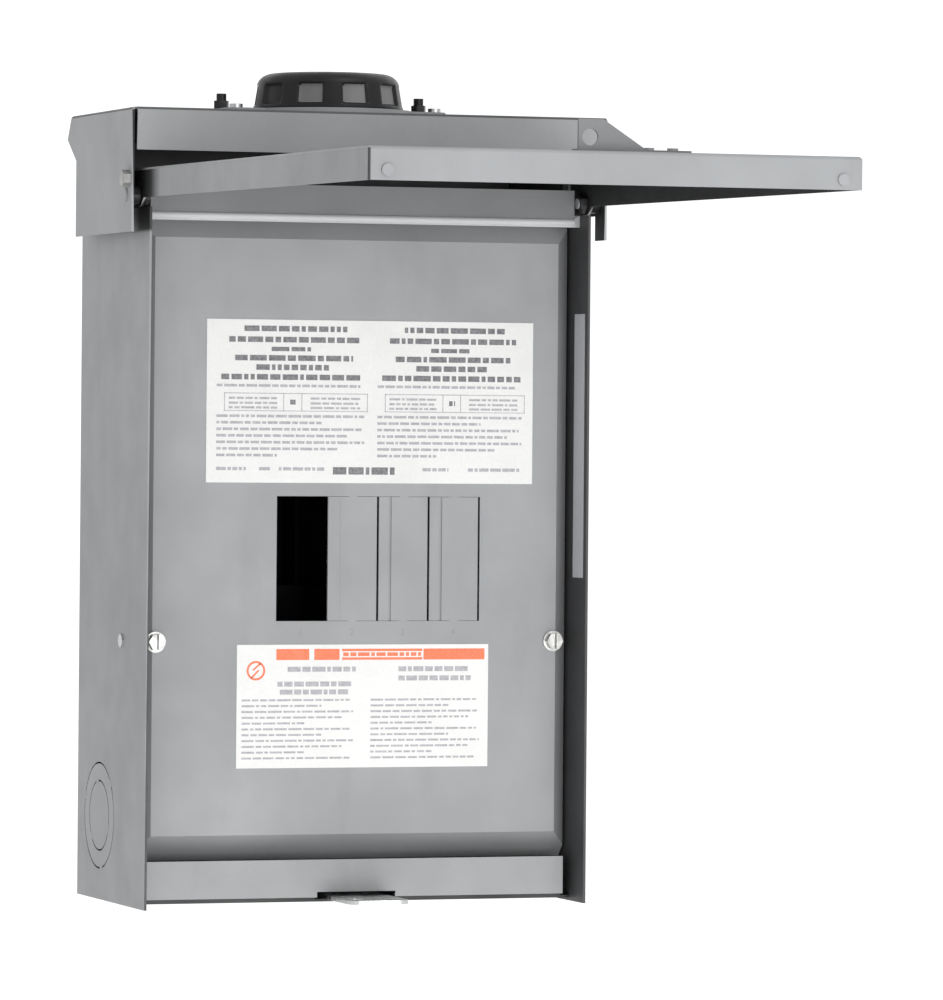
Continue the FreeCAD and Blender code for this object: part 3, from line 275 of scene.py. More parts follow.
@dataclass(frozen=True)
class Enamel:
    """Baked enamel on sheet steel: orange peel, faint cloudiness, dust specks and handling marks.

    Each row of covered is an axis, where along it the painted shade starts and where it is nearly black.
    A place gets the painted shade only if every row shades it.
    """

    name: str
    colour: Colour
    spread: float = 0.06
    peel: float = 0.000035
    gloss: tuple[float, float] = (0.40, 0.56)
    # Ramps of painted shade that darken the colour to nearly black.
    covered: tuple[tuple[str, float, float], ...] = ()

    def build(self) -> bpy.types.Material:
        """Make the material.

        Returns:
            The material, with painted shade to nearly black where covered says so.
        """
        graph = Graph(self.name)
        light = tuple(c * (1 + self.spread) for c in self.colour)
        dark = tuple(c * (1 - self.spread) for c in self.colour)
        clouds = graph.remap(graph.noise(16.0, 5.0), 0.0, 1.0, 0.35, 0.65)
        base = graph.blend(clouds, dark, light)
        specks = graph.remap(graph.noise(1900.0, 1.0), 1.0, 0.86, 0.66, 0.74)
        marks = graph.remap(graph.noise(60.0, 6.0, graph.stretched((1.0, 1.0, 0.22))), 1.0, 0.95, 0.58, 0.7)
        colour = graph.darken(graph.darken(base, specks), marks)
        # Painted shade: the colour is darkened towards nearly black along each ramp.
        if self.covered:
            shades = [graph.remap(graph.along(axis), 1.0, 0.05, start, end)
                      for axis, start, end in self.covered]
            colour = graph.darken(colour, graph.largest(shades))
        graph.feed("Base Color", colour)
        graph.feed("Roughness", graph.remap(graph.noise(45.0, 6.0), self.gloss[0], self.gloss[1]))
        graph.fix("Specular IOR Level", 0.45)
        graph.relief([(graph.noise(420.0, 2.0), self.peel), (graph.noise(30.0, 2.0), self.peel * 2.5)])
        return graph.material


@dataclass(frozen=True)
class Plating:
    """Metal plating: fine rolling streaks, cloudy tint and soft wear."""

    name: str
    colour: Colour
    tint: Colour
    rough: tuple[float, float] = (0.22, 0.42)
    metal: float = 1.0
    grain: float = 0.00001

    def build(self) -> bpy.types.Material:
        """Make the material.

        Returns:
            The material.
        """
        graph = Graph(self.name)
        streaks = graph.noise(900.0, 3.0, graph.stretched((1.0, 0.08, 0.25)))
        clouds = graph.remap(graph.noise(70.0, 4.0), 0.0, 1.0)
        base = graph.blend(clouds, self.colour, self.tint)
        graph.feed("Base Color", graph.darken(base, graph.remap(streaks, 0.88, 1.0)))
        graph.feed("Roughness", graph.remap(graph.noise(240.0, 5.0), self.rough[0], self.rough[1]))
        graph.fix("Metallic", self.metal)
        graph.relief([(streaks, self.grain), (graph.noise(380.0, 2.0), self.grain * 3)])
        return graph.material


@dataclass(frozen=True)
class Moulding:
    """Moulded plastic or rubber: fine spark texture, flow marks and an uneven sheen."""

    name: str
    colour: Colour
    rough: tuple[float, float] = (0.28, 0.46)
    texture: float = 0.00002
    sheen: float = 0.3

    def build(self) -> bpy.types.Material:
        """Make the material.

        Returns:
            The material.
        """
        graph = Graph(self.name)
        pale = tuple(c * 1.6 + 0.002 for c in self.colour)
        flow = graph.remap(graph.noise(35.0, 4.0, graph.stretched((1.0, 1.0, 0.4))), 0.0, 1.0)
        graph.feed("Base Color", graph.blend(flow, self.colour, pale))
        graph.feed("Roughness", graph.remap(graph.noise(120.0, 6.0), self.rough[0], self.rough[1]))
        graph.fix("Specular IOR Level", self.sheen)
        graph.relief([(graph.noise(1500.0, 2.0), self.texture), (graph.noise(90.0, 2.0), self.texture * 2)])
        return graph.material


@dataclass(frozen=True)
class Paper:
    """Coated label paper or ink on it: faint fibres, uneven coat and soft sheen."""

    name: str
    colour: Colour
    fade: float = 0.04
    glow: float = 0.0

    def build(self) -> bpy.types.Material:
        """Make the material.

        Returns:
            The material.
        """
        graph = Graph(self.name)
        graph.shader.inputs["Emission Color"].default_value = (1.0, 1.0, 1.0, 1.0)
        graph.fix("Emission Strength", self.glow)
        faded = tuple(min(1.0, c * (1 + self.fade) + self.fade * 0.4) for c in self.colour)
        fibres = graph.remap(graph.noise(700.0, 5.0), 0.0, 1.0)
        base = graph.blend(fibres, self.colour, faded)
        stains = graph.remap(graph.noise(28.0, 4.0), 1.0, 0.95, 0.5, 0.7)
        graph.feed("Base Color", graph.darken(base, stains))
        graph.feed("Roughness", graph.remap(graph.noise(160.0, 4.0), 0.42, 0.6))
        graph.relief([(fibres, 0.000008)])
        return graph.material


Finish = Enamel | Plating | Moulding | Paper


@dataclass(frozen=True)
class Finishes:
    """Every finish of the panel, with darker and lighter copies of the enamel that paint shade and light."""

    enamel: Enamel = Enamel("grey_enamel", (0.300, 0.308, 0.318))
    # Painted shade: a near-black copy of the enamel for the box's inner faces and the right wall's front edge.
    shade: Enamel = Enamel("inner_painted_shade_enamel", (0.046, 0.047, 0.049), 0.12)
    # Darker copy of the enamel for the box's walls, with a painted shadow on the left wall where the rain cap's
    # skirt hangs over its front.
    wrapper: Enamel = Enamel("wrapper_painted_shade_enamel", (0.272, 0.280, 0.289),
                             covered=(("Z", 0.1460, 0.1476), ("Y", -0.085, -0.098)))
    # Darker copy of the enamel for the door's left flange, with a painted shadow towards the hinge where the rain
    # cap hangs over it.
    flange: Enamel = Enamel("flange_painted_shade_enamel", (0.272, 0.280, 0.289),
                            covered=(("Y", -0.1385, -0.1240),))
    # Darker copy of the enamel for the door pull: painted shade.
    bracket: Enamel = Enamel("bracket_painted_shade_enamel", (0.190, 0.195, 0.200))
    # Darker copy of the enamel for the header strip: the door's painted shadow.
    rail: Enamel = Enamel("rail_painted_shadow_enamel", (0.175, 0.180, 0.185))
    # Lighter copy of the enamel: painted light on the dead front's upper bevel and a painted highlight on the
    # header strip's bead.
    upper_bevel: Enamel = Enamel("painted_light_enamel", (0.500, 0.508, 0.515))
    # Lighter copy of the enamel: painted light on the rain cap's front.
    cap_front: Enamel = Enamel("cap_front_painted_light_enamel", (0.345, 0.353, 0.362))
    # Darker copy of the enamel for the door's near flange: painted shade.
    near_flange: Enamel = Enamel("near_flange_painted_shade_enamel", (0.285, 0.293, 0.302))
    # Painted shade: a near-black copy of the enamel for the inner faces of cap, door and bottom endwall.
    deep: Enamel = Enamel("deep_painted_shade_enamel", (0.022, 0.023, 0.024), 0.15)
    # Darker copy of the enamel: painted shade on the dead front's lower and right bevels.
    bevel: Enamel = Enamel("bevel_painted_shade_enamel", (0.280, 0.285, 0.292), 0.08)
    # Painted shade along the rain cap's rounded upper edges.
    edge: Enamel = Enamel("fold_edge_painted_shade_enamel", (0.085, 0.087, 0.090), 0.15)
    # Painted reflection: a paler moulding on the forward hub cap panels.
    panel: Moulding = Moulding("painted_reflection_moulding", (0.17, 0.17, 0.17), (0.4, 0.6), 0.00005)
    zinc: Plating = Plating("bright_zinc", (0.74, 0.74, 0.72), (0.60, 0.62, 0.63))
    # Zinc darkened in large clouds: painted shade on the screw heads.
    worn: Plating = Plating("painted_shade_zinc", (0.66, 0.66, 0.64), (0.16, 0.16, 0.16), (0.3, 0.6))
    tin: Plating = Plating("tinned_aluminium", (0.72, 0.72, 0.72), (0.6, 0.6, 0.59), (0.3, 0.5))
    oxide: Plating = Plating("black_oxide", (0.012, 0.012, 0.013), (0.03, 0.03, 0.03), (0.35, 0.5), 0.4)
    moulded: Moulding = Moulding("black_moulding", (0.010, 0.010, 0.011))
    # Black moulding made darker and duller than the others: the plastic's own black with painted shade of the
    # hollow behind the breaker window.
    dull: Moulding = Moulding("painted_shade_black_moulding", (0.002, 0.002, 0.002), (0.75, 0.95), 0.00002, 0.05)
    # Black foam rubber of the gaskets; where they fill gaps around the box, their black also stands in for the
    # shade in those gaps.
    rubber: Moulding = Moulding("foam_rubber", (0.012, 0.012, 0.012), (0.6, 0.8), 0.00006)
    paper: Paper = Paper("label_paper", (0.74, 0.74, 0.73))
    strip: Paper = Paper("strip_paper", (0.51, 0.52, 0.54))
    ink: Paper = Paper("dark_ink", (0.10, 0.10, 0.11), 0.3)
    pale_ink: Paper = Paper("pale_ink", (0.33, 0.33, 0.35), 0.2)
    orange: Paper = Paper("orange_ink", (0.80, 0.16, 0.06), 0.1)
    floor: Paper = Paper("floor_paint", (0.93, 0.93, 0.93), 0.01, 0.5)
    stamp: Paper = Paper("stamp_ink", (0.21, 0.215, 0.22), 0.1)

    def by_slot(self) -> dict[str, Finish]:
        """The finish that dresses the CAD nodes of each of the record's slots.

        Returns:
            Finishes by the slots' names.
        """
        return {
            "painted_grey": self.enamel,
            "zinc_steel": self.zinc,
            "black_plastic": self.moulded,
            "black_steel": self.oxide,
            "gasket_rubber": self.rubber,
            "aluminium_bar": self.tin,
            "label_paper": self.paper,
            "label_grey": self.strip,
        }


FINISHES = Finishes()
_BUILT: dict[str, bpy.types.Material] = {}


def material(finish: Finish) -> bpy.types.Material:
    """The one material of a finish, made the first time it is asked for.

    Args:
        finish: any finish with a name and a build method.

    Returns:
        Its material.
    """
    if finish.name not in _BUILT:
        _BUILT[finish.name] = finish.build()
    return _BUILT[finish.name]


def mesh_piece(name: str, points: np.ndarray, faces: np.ndarray, finish: Finish, body: Rides) -> bpy.types.Object:
    """Turn arrays of points and quads into a flat-shaded piece that rides on a body.

    Args:
        name: the piece's name.
        points: n by 3 positions in metres, in the row frame.
        faces: m by 4 point numbers, anticlockwise from outside.
        finish: the piece's finish.
        body: the CAD body that it rides on.

    Returns:
        The new object.
    """
    mesh = bpy.data.meshes.new(name)
    mesh.from_pydata(points.tolist(), [], faces.tolist())
    mesh.polygons.foreach_set("use_smooth", np.full(len(faces), False))
    mesh.update()
    piece = bpy.data.objects.new(name, mesh)
    bpy.context.scene.collection.objects.link(piece)
    mesh.materials.append(material(finish))
    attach(piece, body.value)
    LOG.info("piece %s: %d faces", name, len(faces))
    return piece


def grid_faces(rows: int, columns: int, closed: bool = False) -> np.ndarray:
    """Quads of a grid of points numbered row by row.

    Args:
        rows: points down the grid.
        columns: points across the grid.
        closed: whether the last column joins the first.

    Returns:
        m by 4 point numbers.
    """
    across = columns if closed else columns - 1
    row, column = np.meshgrid(np.arange(rows - 1), np.arange(across), indexing="ij")
    after = (column + 1) % columns
    here, below = row * columns, (row + 1) * columns
    corners = [here + column, here + after, below + after, below + column]
    return np.stack([corner.ravel() for corner in corners], axis=1)


@dataclass
class InkSheet:
    """Flat print on one label: bars that stand for lines of small type, rules and boxes.

    A place on the label is a pair of fractions, across from its left edge and down from its top.
    """

    name: str
    node: str
    rise: float = 0.00006
    seed: int = 3
    bars: list[np.ndarray] = field(default_factory=list)

    def __post_init__(self) -> None:
        """Measure the label and start its own random numbers."""
        self.low, self.high = (np.array(corner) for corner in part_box(self.node))
        self.random = np.random.default_rng(self.seed)

    def bar(self, left: float, right: float, top: float, bottom: float) -> None:
        """Add one plain bar.

        Args:
            left: its left side across the label.
            right: its right side across the label.
            top: its top down the label.
            bottom: its bottom down the label.
        """
        self.bars.append(np.array([[left, right, top, bottom]]))

    def line(self, left: float, right: float, down: float, height: float, word: float = 0.022) -> None:
        """Add a broken line: words of random length with gaps of a fifth of a word between them.

        The words' ends are running sums of random lengths, and those past the right end are left out.

        Args:
            left: where it starts across the label.
            right: where it ends across the label.
            down: its middle, down the label.
            height: its height as a part of the label's.
            word: mean word length as a part of the label's width.
        """
        count = int((right - left) / word * 3) + 3
        lengths = word * self.random.uniform(0.35, 1.8, count)
        starts = left + np.concatenate([[0.0], np.cumsum(lengths + word * 0.22)[:-1]])
        ends = np.minimum(starts + lengths, right)
        keep = (starts < right) & (ends - starts > word * 0.15)
        half = height / 2
        rows = np.stack([starts, ends, np.full(count, down - half), np.full(count, down + half)], axis=1)
        self.bars.append(rows[keep])

    def frame_box(self, left: float, right: float, top: float, bottom: float,
                  thick: float = 0.0022) -> None:
        """Add the four rules of a ruled box.

        Args:
            left: its left side across the label.
            right: its right side across the label.
            top: its top down the label.
            bottom: its bottom down the label.
            thick: width of the upright rules as a part of the label's width.
        """
        tall = thick * (self.high[0] - self.low[0]) / (self.high[2] - self.low[2])
        self.bar(left, right, top, top + tall)
        self.bar(left, right, bottom - tall, bottom)
        self.bar(left, left + thick, top, bottom)
        self.bar(right - thick, right, top, bottom)

    def build(self, finish: Finish) -> bpy.types.Object:
        """Lay the bars just in front of the label: each is one quad facing -Y.

        Args:
            finish: the ink.

        Returns:
            The printed piece.
        """
        bars = np.concatenate(self.bars)
        wide, tall = self.high[0] - self.low[0], self.high[2] - self.low[2]
        x = self.low[0] + bars[:, [0, 1, 1, 0]] * wide
        z = self.high[2] - bars[:, [3, 3, 2, 2]] * tall
        y = np.full_like(x, self.low[1] - self.rise)
        points = np.stack([x, y, z], axis=2).reshape(-1, 3)
        faces = np.arange(len(points)).reshape(-1, 4)
        return mesh_piece(self.name, points, faces, finish, Rides.BOX)


@dataclass
class RatingLabel:
    """Large white label: two columns of type with ruled boxes.

    A heading is its start and end across the column, its middle down the label and its height.
    """

    columns: tuple[tuple[float, float], ...] = ((0.03, 0.49), (0.52, 0.975))
    headings: tuple[tuple[float, float, float, float], ...] = (
        (0.18, 0.86, 0.055, 0.034), (0.08, 0.94, 0.122, 0.034), (0.36, 0.62, 0.18, 0.026),
        (0.12, 0.90, 0.235, 0.034), (0.26, 0.74, 0.292, 0.034), (0.03, 0.97, 0.352, 0.034))

    def build(self) -> None:
        """Print the headings, boxes and lines of small type."""
        heads = InkSheet("rating_heads", "rating_label", seed=5)
        small = InkSheet("rating_small_type", "rating_label", seed=8)
        for left, right in self.columns:
            wide = right - left
            for start, end, down, height in self.headings:
                heads.line(left + start * wide, left + end * wide, down, height, 0.03)
            small.line(left, right - 0.05 * wide, 0.405, 0.016)
            small.frame_box(left + 0.05 * wide, right, 0.45, 0.562)
            small.bar(left + 0.44 * wide, left + 0.445 * wide, 0.45, 0.562)
            small.bar(left + 0.56 * wide, left + 0.565 * wide, 0.45, 0.562)
            for down in (0.482, 0.512, 0.54):
                small.line(left + 0.08 * wide, left + 0.4 * wide, down, 0.013)
                small.line(left + 0.62 * wide, left + 0.95 * wide, down, 0.013)
            heads.line(left + 0.485 * wide, left + 0.525 * wide, 0.505, 0.03, 0.02)
            for row, down in enumerate((0.592, 0.632, 0.672, 0.712, 0.752, 0.792, 0.832)):
                small.line(left, right - (0.02, 0.3, 0.04, 0.12, 0.02, 0.2, 0.6)[row] * wide, down, 0.016)
        for left, right in ((0.03, 0.12), (0.16, 0.2), (0.22, 0.36), (0.66, 0.74), (0.8, 0.96)):
            small.line(left, right, 0.915, 0.02)
        heads.line(0.385, 0.585, 0.925, 0.045, 0.03)
        heads.build(FINISHES.ink)
        small.build(FINISHES.pale_ink)


@dataclass
class CautionLabel:
    """Lower white label: an orange bar along the top, a plain round mark and two columns of type."""

    columns: tuple[tuple[float, float], ...] = ((0.02, 0.47), (0.53, 0.975))
    headings: tuple[tuple[float, float, float], ...] = (
        (0.2, 0.47, 0.2), (0.16, 0.46, 0.32), (0.17, 0.44, 0.385), (0.64, 0.92, 0.2), (0.64, 0.93, 0.275))

    def build(self) -> None:
        """Print the bar, the mark and the type."""
        orange = InkSheet("caution_bar", "warning_label", seed=2)
        for left, right in ((0.155, 0.285), (0.305, 0.405), (0.74, 0.985)):
            orange.bar(left, right, 0.035, 0.125)
        orange.bar(0.415, 0.735, 0.035, 0.055)
        orange.bar(0.415, 0.735, 0.105, 0.125)
        orange.line(0.42, 0.73, 0.08, 0.03, 0.03)
        orange.build(FINISHES.orange)
        heads = InkSheet("caution_heads", "warning_label", seed=4)
        for left, right, down in self.headings:
            heads.line(left, right, down, 0.04, 0.03)
        heads.build(FINISHES.pale_ink)
        small = InkSheet("caution_small_type", "warning_label", seed=6)
        for left, right in self.columns:
            wide = right - left
            for row in range(11):
                down = 0.45 + row * 0.047
                small.line(left, right - (0.05, 0.3, 0.02, 0.12, 0.45)[row % 5] * wide, down, 0.016, 0.03)
        small.build(FINISHES.pale_ink)
        self.mark()

    def mark(self) -> None:
        """A round mark with a slanting stroke, as flat bands facing -Y.

        The ring is a grid of angle by radius, and the stroke a grid along a bent line.
        """
        low, high = (np.array(corner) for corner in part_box("warning_label"))
        wide, tall = high[0] - low[0], high[2] - low[2]
        centre = np.array([low[0] + 0.075 * wide, high[2] - 0.21 * tall])
        angle = np.linspace(0, 2 * math.pi, 40, endpoint=False)
        radius = np.array([0.0036, 0.0046])
        ring_x = centre[0] + radius[:, None] * np.cos(angle)
        ring_z = centre[1] + radius[:, None] * np.sin(angle)
        ring = np.stack([ring_x, np.full_like(ring_x, low[1] - 0.00006), ring_z], axis=2).reshape(-1, 3)
        spine = np.array([[0.0022, 0.0034], [-0.0014, 0.0002], [0.0014, 0.0002], [-0.0022, -0.0034]]) + centre
        side = np.array([0.0006, 0.0])
        stroke = np.concatenate([spine - side, spine + side])
        stroke = np.stack([stroke[:, 0], np.full(8, low[1] - 0.00006), stroke[:, 1]], axis=1)
        ring_faces = grid_faces(2, 40, closed=True)
        stroke_faces = grid_faces(2, 4) + len(ring)
        points = np.concatenate([ring, stroke])
        faces = np.concatenate([ring_faces, stroke_faces])
        mesh_piece("caution_mark", points, faces, FINISHES.orange, Rides.BOX)


@dataclass
class PoleNumbers:
    """Small stamped numbers under the four breaker spaces."""

    height: float = 0.0030
    below: float = 0.0036
    pitch: float = 0.0254
    cap_height: float = 0.7

    def build(self) -> None:
        """Make each number from a text curve, as a flat mesh facing -Y."""
        plate = [np.array(corner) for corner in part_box("twistout_2")]
        face = plate[0][1]
        for pole in range(1, 5):
            curve = bpy.data.curves.new(f"pole_number_{pole}", "FONT")
            curve.body = str(pole)
            curve.size = self.height / self.cap_height
            curve.align_x = "CENTER"
            text = bpy.data.objects.new("number_text", curve)
            bpy.context.scene.collection.objects.link(text)
            bpy.context.view_layer.update()
            shaped = text.evaluated_get(bpy.context.evaluated_depsgraph_get())
            mesh = bpy.data.meshes.new_from_object(shaped)
            bpy.data.objects.remove(text)
            middle = (plate[0][0] + plate[1][0]) / 2 + (pole - 2) * self.pitch
            low = plate[0][2] - self.below - self.height
            place = Matrix.Translation(Vector((middle, face - 0.00005, low)))
            mesh.transform(place @ Matrix.Rotation(math.pi / 2, 4, "X"))
            mesh.materials.clear()
            mesh.materials.append(material(FINISHES.stamp))
            piece = bpy.data.objects.new(f"pole_number_{pole}", mesh)
            bpy.context.scene.collection.objects.link(piece)
            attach(piece, Rides.BOX.value)
            LOG.info("piece pole_number_%d", pole)


@dataclass
class HubCap:
    """Moulded cap over the hub opening, with ten shallow finger panels round its side."""

    panels: int = 10
    first: float = 4.0
    depth: float = 0.0016
    turns: int = 240
    shoulder: float = 0.0068
    # Bearings in degrees between which pressed-in panels get the painted reflection.
    scuffed: tuple[float, float] = (-50.0, 58.0)

    def __post_init__(self) -> None:
        """Measure the plain cap that this one takes the place of."""
        low, high = (np.array(corner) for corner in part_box("hub_cap"))
        self.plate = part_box("hub_plate")[1][2]
        self.centre = (low + high) / 2
        self.outer = (high[0] - low[0]) / 2
        self.crown = high[2]
        self.base = low[2]
        self.angle = np.linspace(0, 2 * math.pi, self.turns, endpoint=False)

    def profile(self) -> tuple[np.ndarray, np.ndarray, np.ndarray]:
        """The line that is carried round the cap's axis.

        It runs from the middle of the top, over the shoulder, down the side and back in to the
        underside's middle, so the piece is closed.

        Returns:
            Radii, heights, and for each whether it is on the shoulder or the side.
        """
        bend = np.linspace(0, math.pi / 2, 14)
        shoulder_r = self.outer - 0.0095 + 0.0075 * np.sin(bend)
        shoulder_z = self.crown - self.shoulder + self.shoulder * np.cos(bend)
        side_z = np.linspace(self.crown - 0.0074, self.plate + 0.0008, 30)
        side_r = np.interp(side_z, [self.plate, self.crown - self.shoulder],
                           [self.outer - 0.0002, self.outer - 0.0020])
        top_r = np.linspace(0.0002, self.outer - 0.011, 16)
        top_z = self.crown - 0.0006 * (top_r / self.outer) ** 2
        foot_r = np.array([self.outer - 0.0006, self.outer - 0.002, 0.028, 0.0276, 0.012, 0.0002])
        foot_z = np.repeat([self.plate, self.base], 3)
        radius = np.concatenate([top_r, shoulder_r, side_r, foot_r])
        height = np.concatenate([top_z, shoulder_z, side_z, foot_z])
        upright = np.zeros(len(radius), dtype=bool)
        upright[len(top_r):-len(foot_r)] = True
        return radius, height, upright

    def around(self) -> np.ndarray:
        """How deep the panels are at each angle, from 0 to 1.

        Returns:
            A smooth step that is 1 over the middle half of each panel's share of the turn.
        """
        share = 2 * math.pi / self.panels
        start = math.radians(self.first - 90)
        phase = np.abs((self.angle - start + share / 2) % share - share / 2) / (share / 2)
        step = np.clip((0.62 - phase) / 0.10, 0, 1)
        return step * step * (3 - 2 * step)

    def lids(self, count: int) -> list[list[int]]:
        """Triangles that close the top and the underside, each round one middle point.

        Args:
            count: how many points the grid has, which is the number of the top's middle point.

        Returns:
            Point numbers of the top's triangles, then of the underside's.
        """
        here = np.arange(self.turns)
        after = (here + 1) % self.turns
        last = count - self.turns
        top = np.stack([here, after, np.full(self.turns, count)], axis=1)
        base = np.stack([last + after, last + here, np.full(self.turns, count + 1)], axis=1)
        return top.tolist() + base.tolist()

    def build(self) -> None:
        """Carry the profile round the axis, press the panels in and paint a reflection on those that face
        forward.

        The radius at angle t and height h is the profile's radius less depth * B(h) * A(t). A is
        what around() gives, and B is 1 over the side's flat height and 0 at its ends.
        """
        radius, height, upright = self.profile()
        around = self.around()
        rise = np.clip((height - self.plate - 0.0020) / 0.0010, 0, 1)
        rise *= np.clip((self.crown - 0.0052 - height) / 0.0012, 0, 1)
        rise[~upright] = 0.0
        pressed = radius[:, None] - self.depth * rise[:, None] * around[None, :]
        x = self.centre[0] + pressed * np.cos(self.angle)
        y = self.centre[1] + pressed * np.sin(self.angle)
        z = np.repeat(height[:, None], self.turns, axis=1)
        points = np.stack([x, y, z], axis=2).reshape(-1, 3)
        faces = grid_faces(len(radius), self.turns, closed=True)[:, ::-1]
        middles = [[*self.centre[:2], level] for level in (self.crown, self.base)]
        mesh = bpy.data.meshes.new("hub_cap_moulding")
        all_faces = faces.tolist() + self.lids(len(points))
        mesh.from_pydata(points.tolist() + middles, [], all_faces)
        mesh.polygons.foreach_set("use_smooth", np.full(len(mesh.polygons), True))
        # Pressed-in panels that face forward get the paler moulding: a painted reflection.
        inset = (rise[:, None] * around[None, :]).ravel()[faces].min(axis=1)
        bearing = (np.degrees(self.angle)[faces[:, 0] % self.turns] + 270) % 360 - 180
        painted_reflections = (inset > 0.6) & (bearing > self.scuffed[0]) & (bearing < self.scuffed[1])
        slots = np.zeros(len(mesh.polygons), dtype=np.int32)
        slots[:len(faces)] = painted_reflections
        mesh.materials.append(material(FINISHES.moulded))
        mesh.materials.append(material(FINISHES.panel))
        mesh.polygons.foreach_set("material_index", slots)
        mesh.update()
        piece = bpy.data.objects.new("hub_cap_moulding", mesh)
        bpy.context.scene.collection.objects.link(piece)
        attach(piece, Rides.BOX.value)
        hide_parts("hub_cap")
        LOG.info("piece hub_cap_moulding: %d faces", len(mesh.polygons))


@dataclass
class KnockoutTies:
    """Short bridges that hold the knockouts of each side wall: raised arcs across the punched gaps."""

    half_width: float = 0.0022
    lift: float = 0.00008

    def build(self) -> None:
        """Make each tie as a small grid in radius by angle on the wall's outer face."""
        ring = [np.array(corner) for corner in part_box("side_knockout_rings")]
        centre_y, centre_z = (ring[0][1] + ring[1][1]) / 2, (ring[0][2] + ring[1][2]) / 2
        outer = (ring[1][2] - ring[0][2]) / 2
        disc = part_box("side_knockout_discs")
        inner = (disc[1][2] - disc[0][2]) / 2
        points, faces = [], []
        for side in (-1, 1):
            x = (ring[0] if side < 0 else ring[1])[0] + side * self.lift
            for radius, angles in ((inner, (80, 200, 320)), (outer, (20, 140, 260))):
                for angle in np.radians(angles):
                    reach = radius + np.array([-0.0007, 0.0011])
                    turn = angle + np.linspace(-1, 1, 6) * self.half_width / radius
                    y = centre_y + reach[:, None] * np.cos(turn)
                    z = centre_z + reach[:, None] * np.sin(turn)
                    quads = grid_faces(2, 6) + sum(len(p) for p in points)
                    points.append(np.stack([np.full_like(y, x), y, z], axis=2).reshape(-1, 3))
                    faces.append(quads[:, ::-1] if side > 0 else quads)
        mesh_piece("knockout_ties", np.concatenate(points), np.concatenate(faces), FINISHES.enamel,
                   Rides.BOX)


class Faces:
    """Middles and normals of a CAD node's polygons."""

    def __init__(self, node: bpy.types.Object) -> None:
        """Read the mesh.

        Args:
            node: the CAD node's object.
        """
        count = len(node.data.polygons)
        self.mesh = node.data
        self.middle = np.empty(count * 3)
        self.normal = np.empty(count * 3)
        node.data.polygons.foreach_get("center", self.middle)
        node.data.polygons.foreach_get("normal", self.normal)
        self.middle = self.middle.reshape(-1, 3)
        self.normal = self.normal.reshape(-1, 3)

    def finish(self, chosen: np.ndarray, finish: Finish) -> None:
        """Give the chosen polygons a second finish.

        Args:
            chosen: one truth value for each polygon.
            finish: their finish.
        """
        self.mesh.materials.append(material(finish))
        index = np.empty(len(chosen), dtype=np.int32)
        self.mesh.polygons.foreach_get("material_index", index)
        index[chosen] = len(self.mesh.materials) - 1
        self.mesh.polygons.foreach_set("material_index", index)
        self.mesh.update()


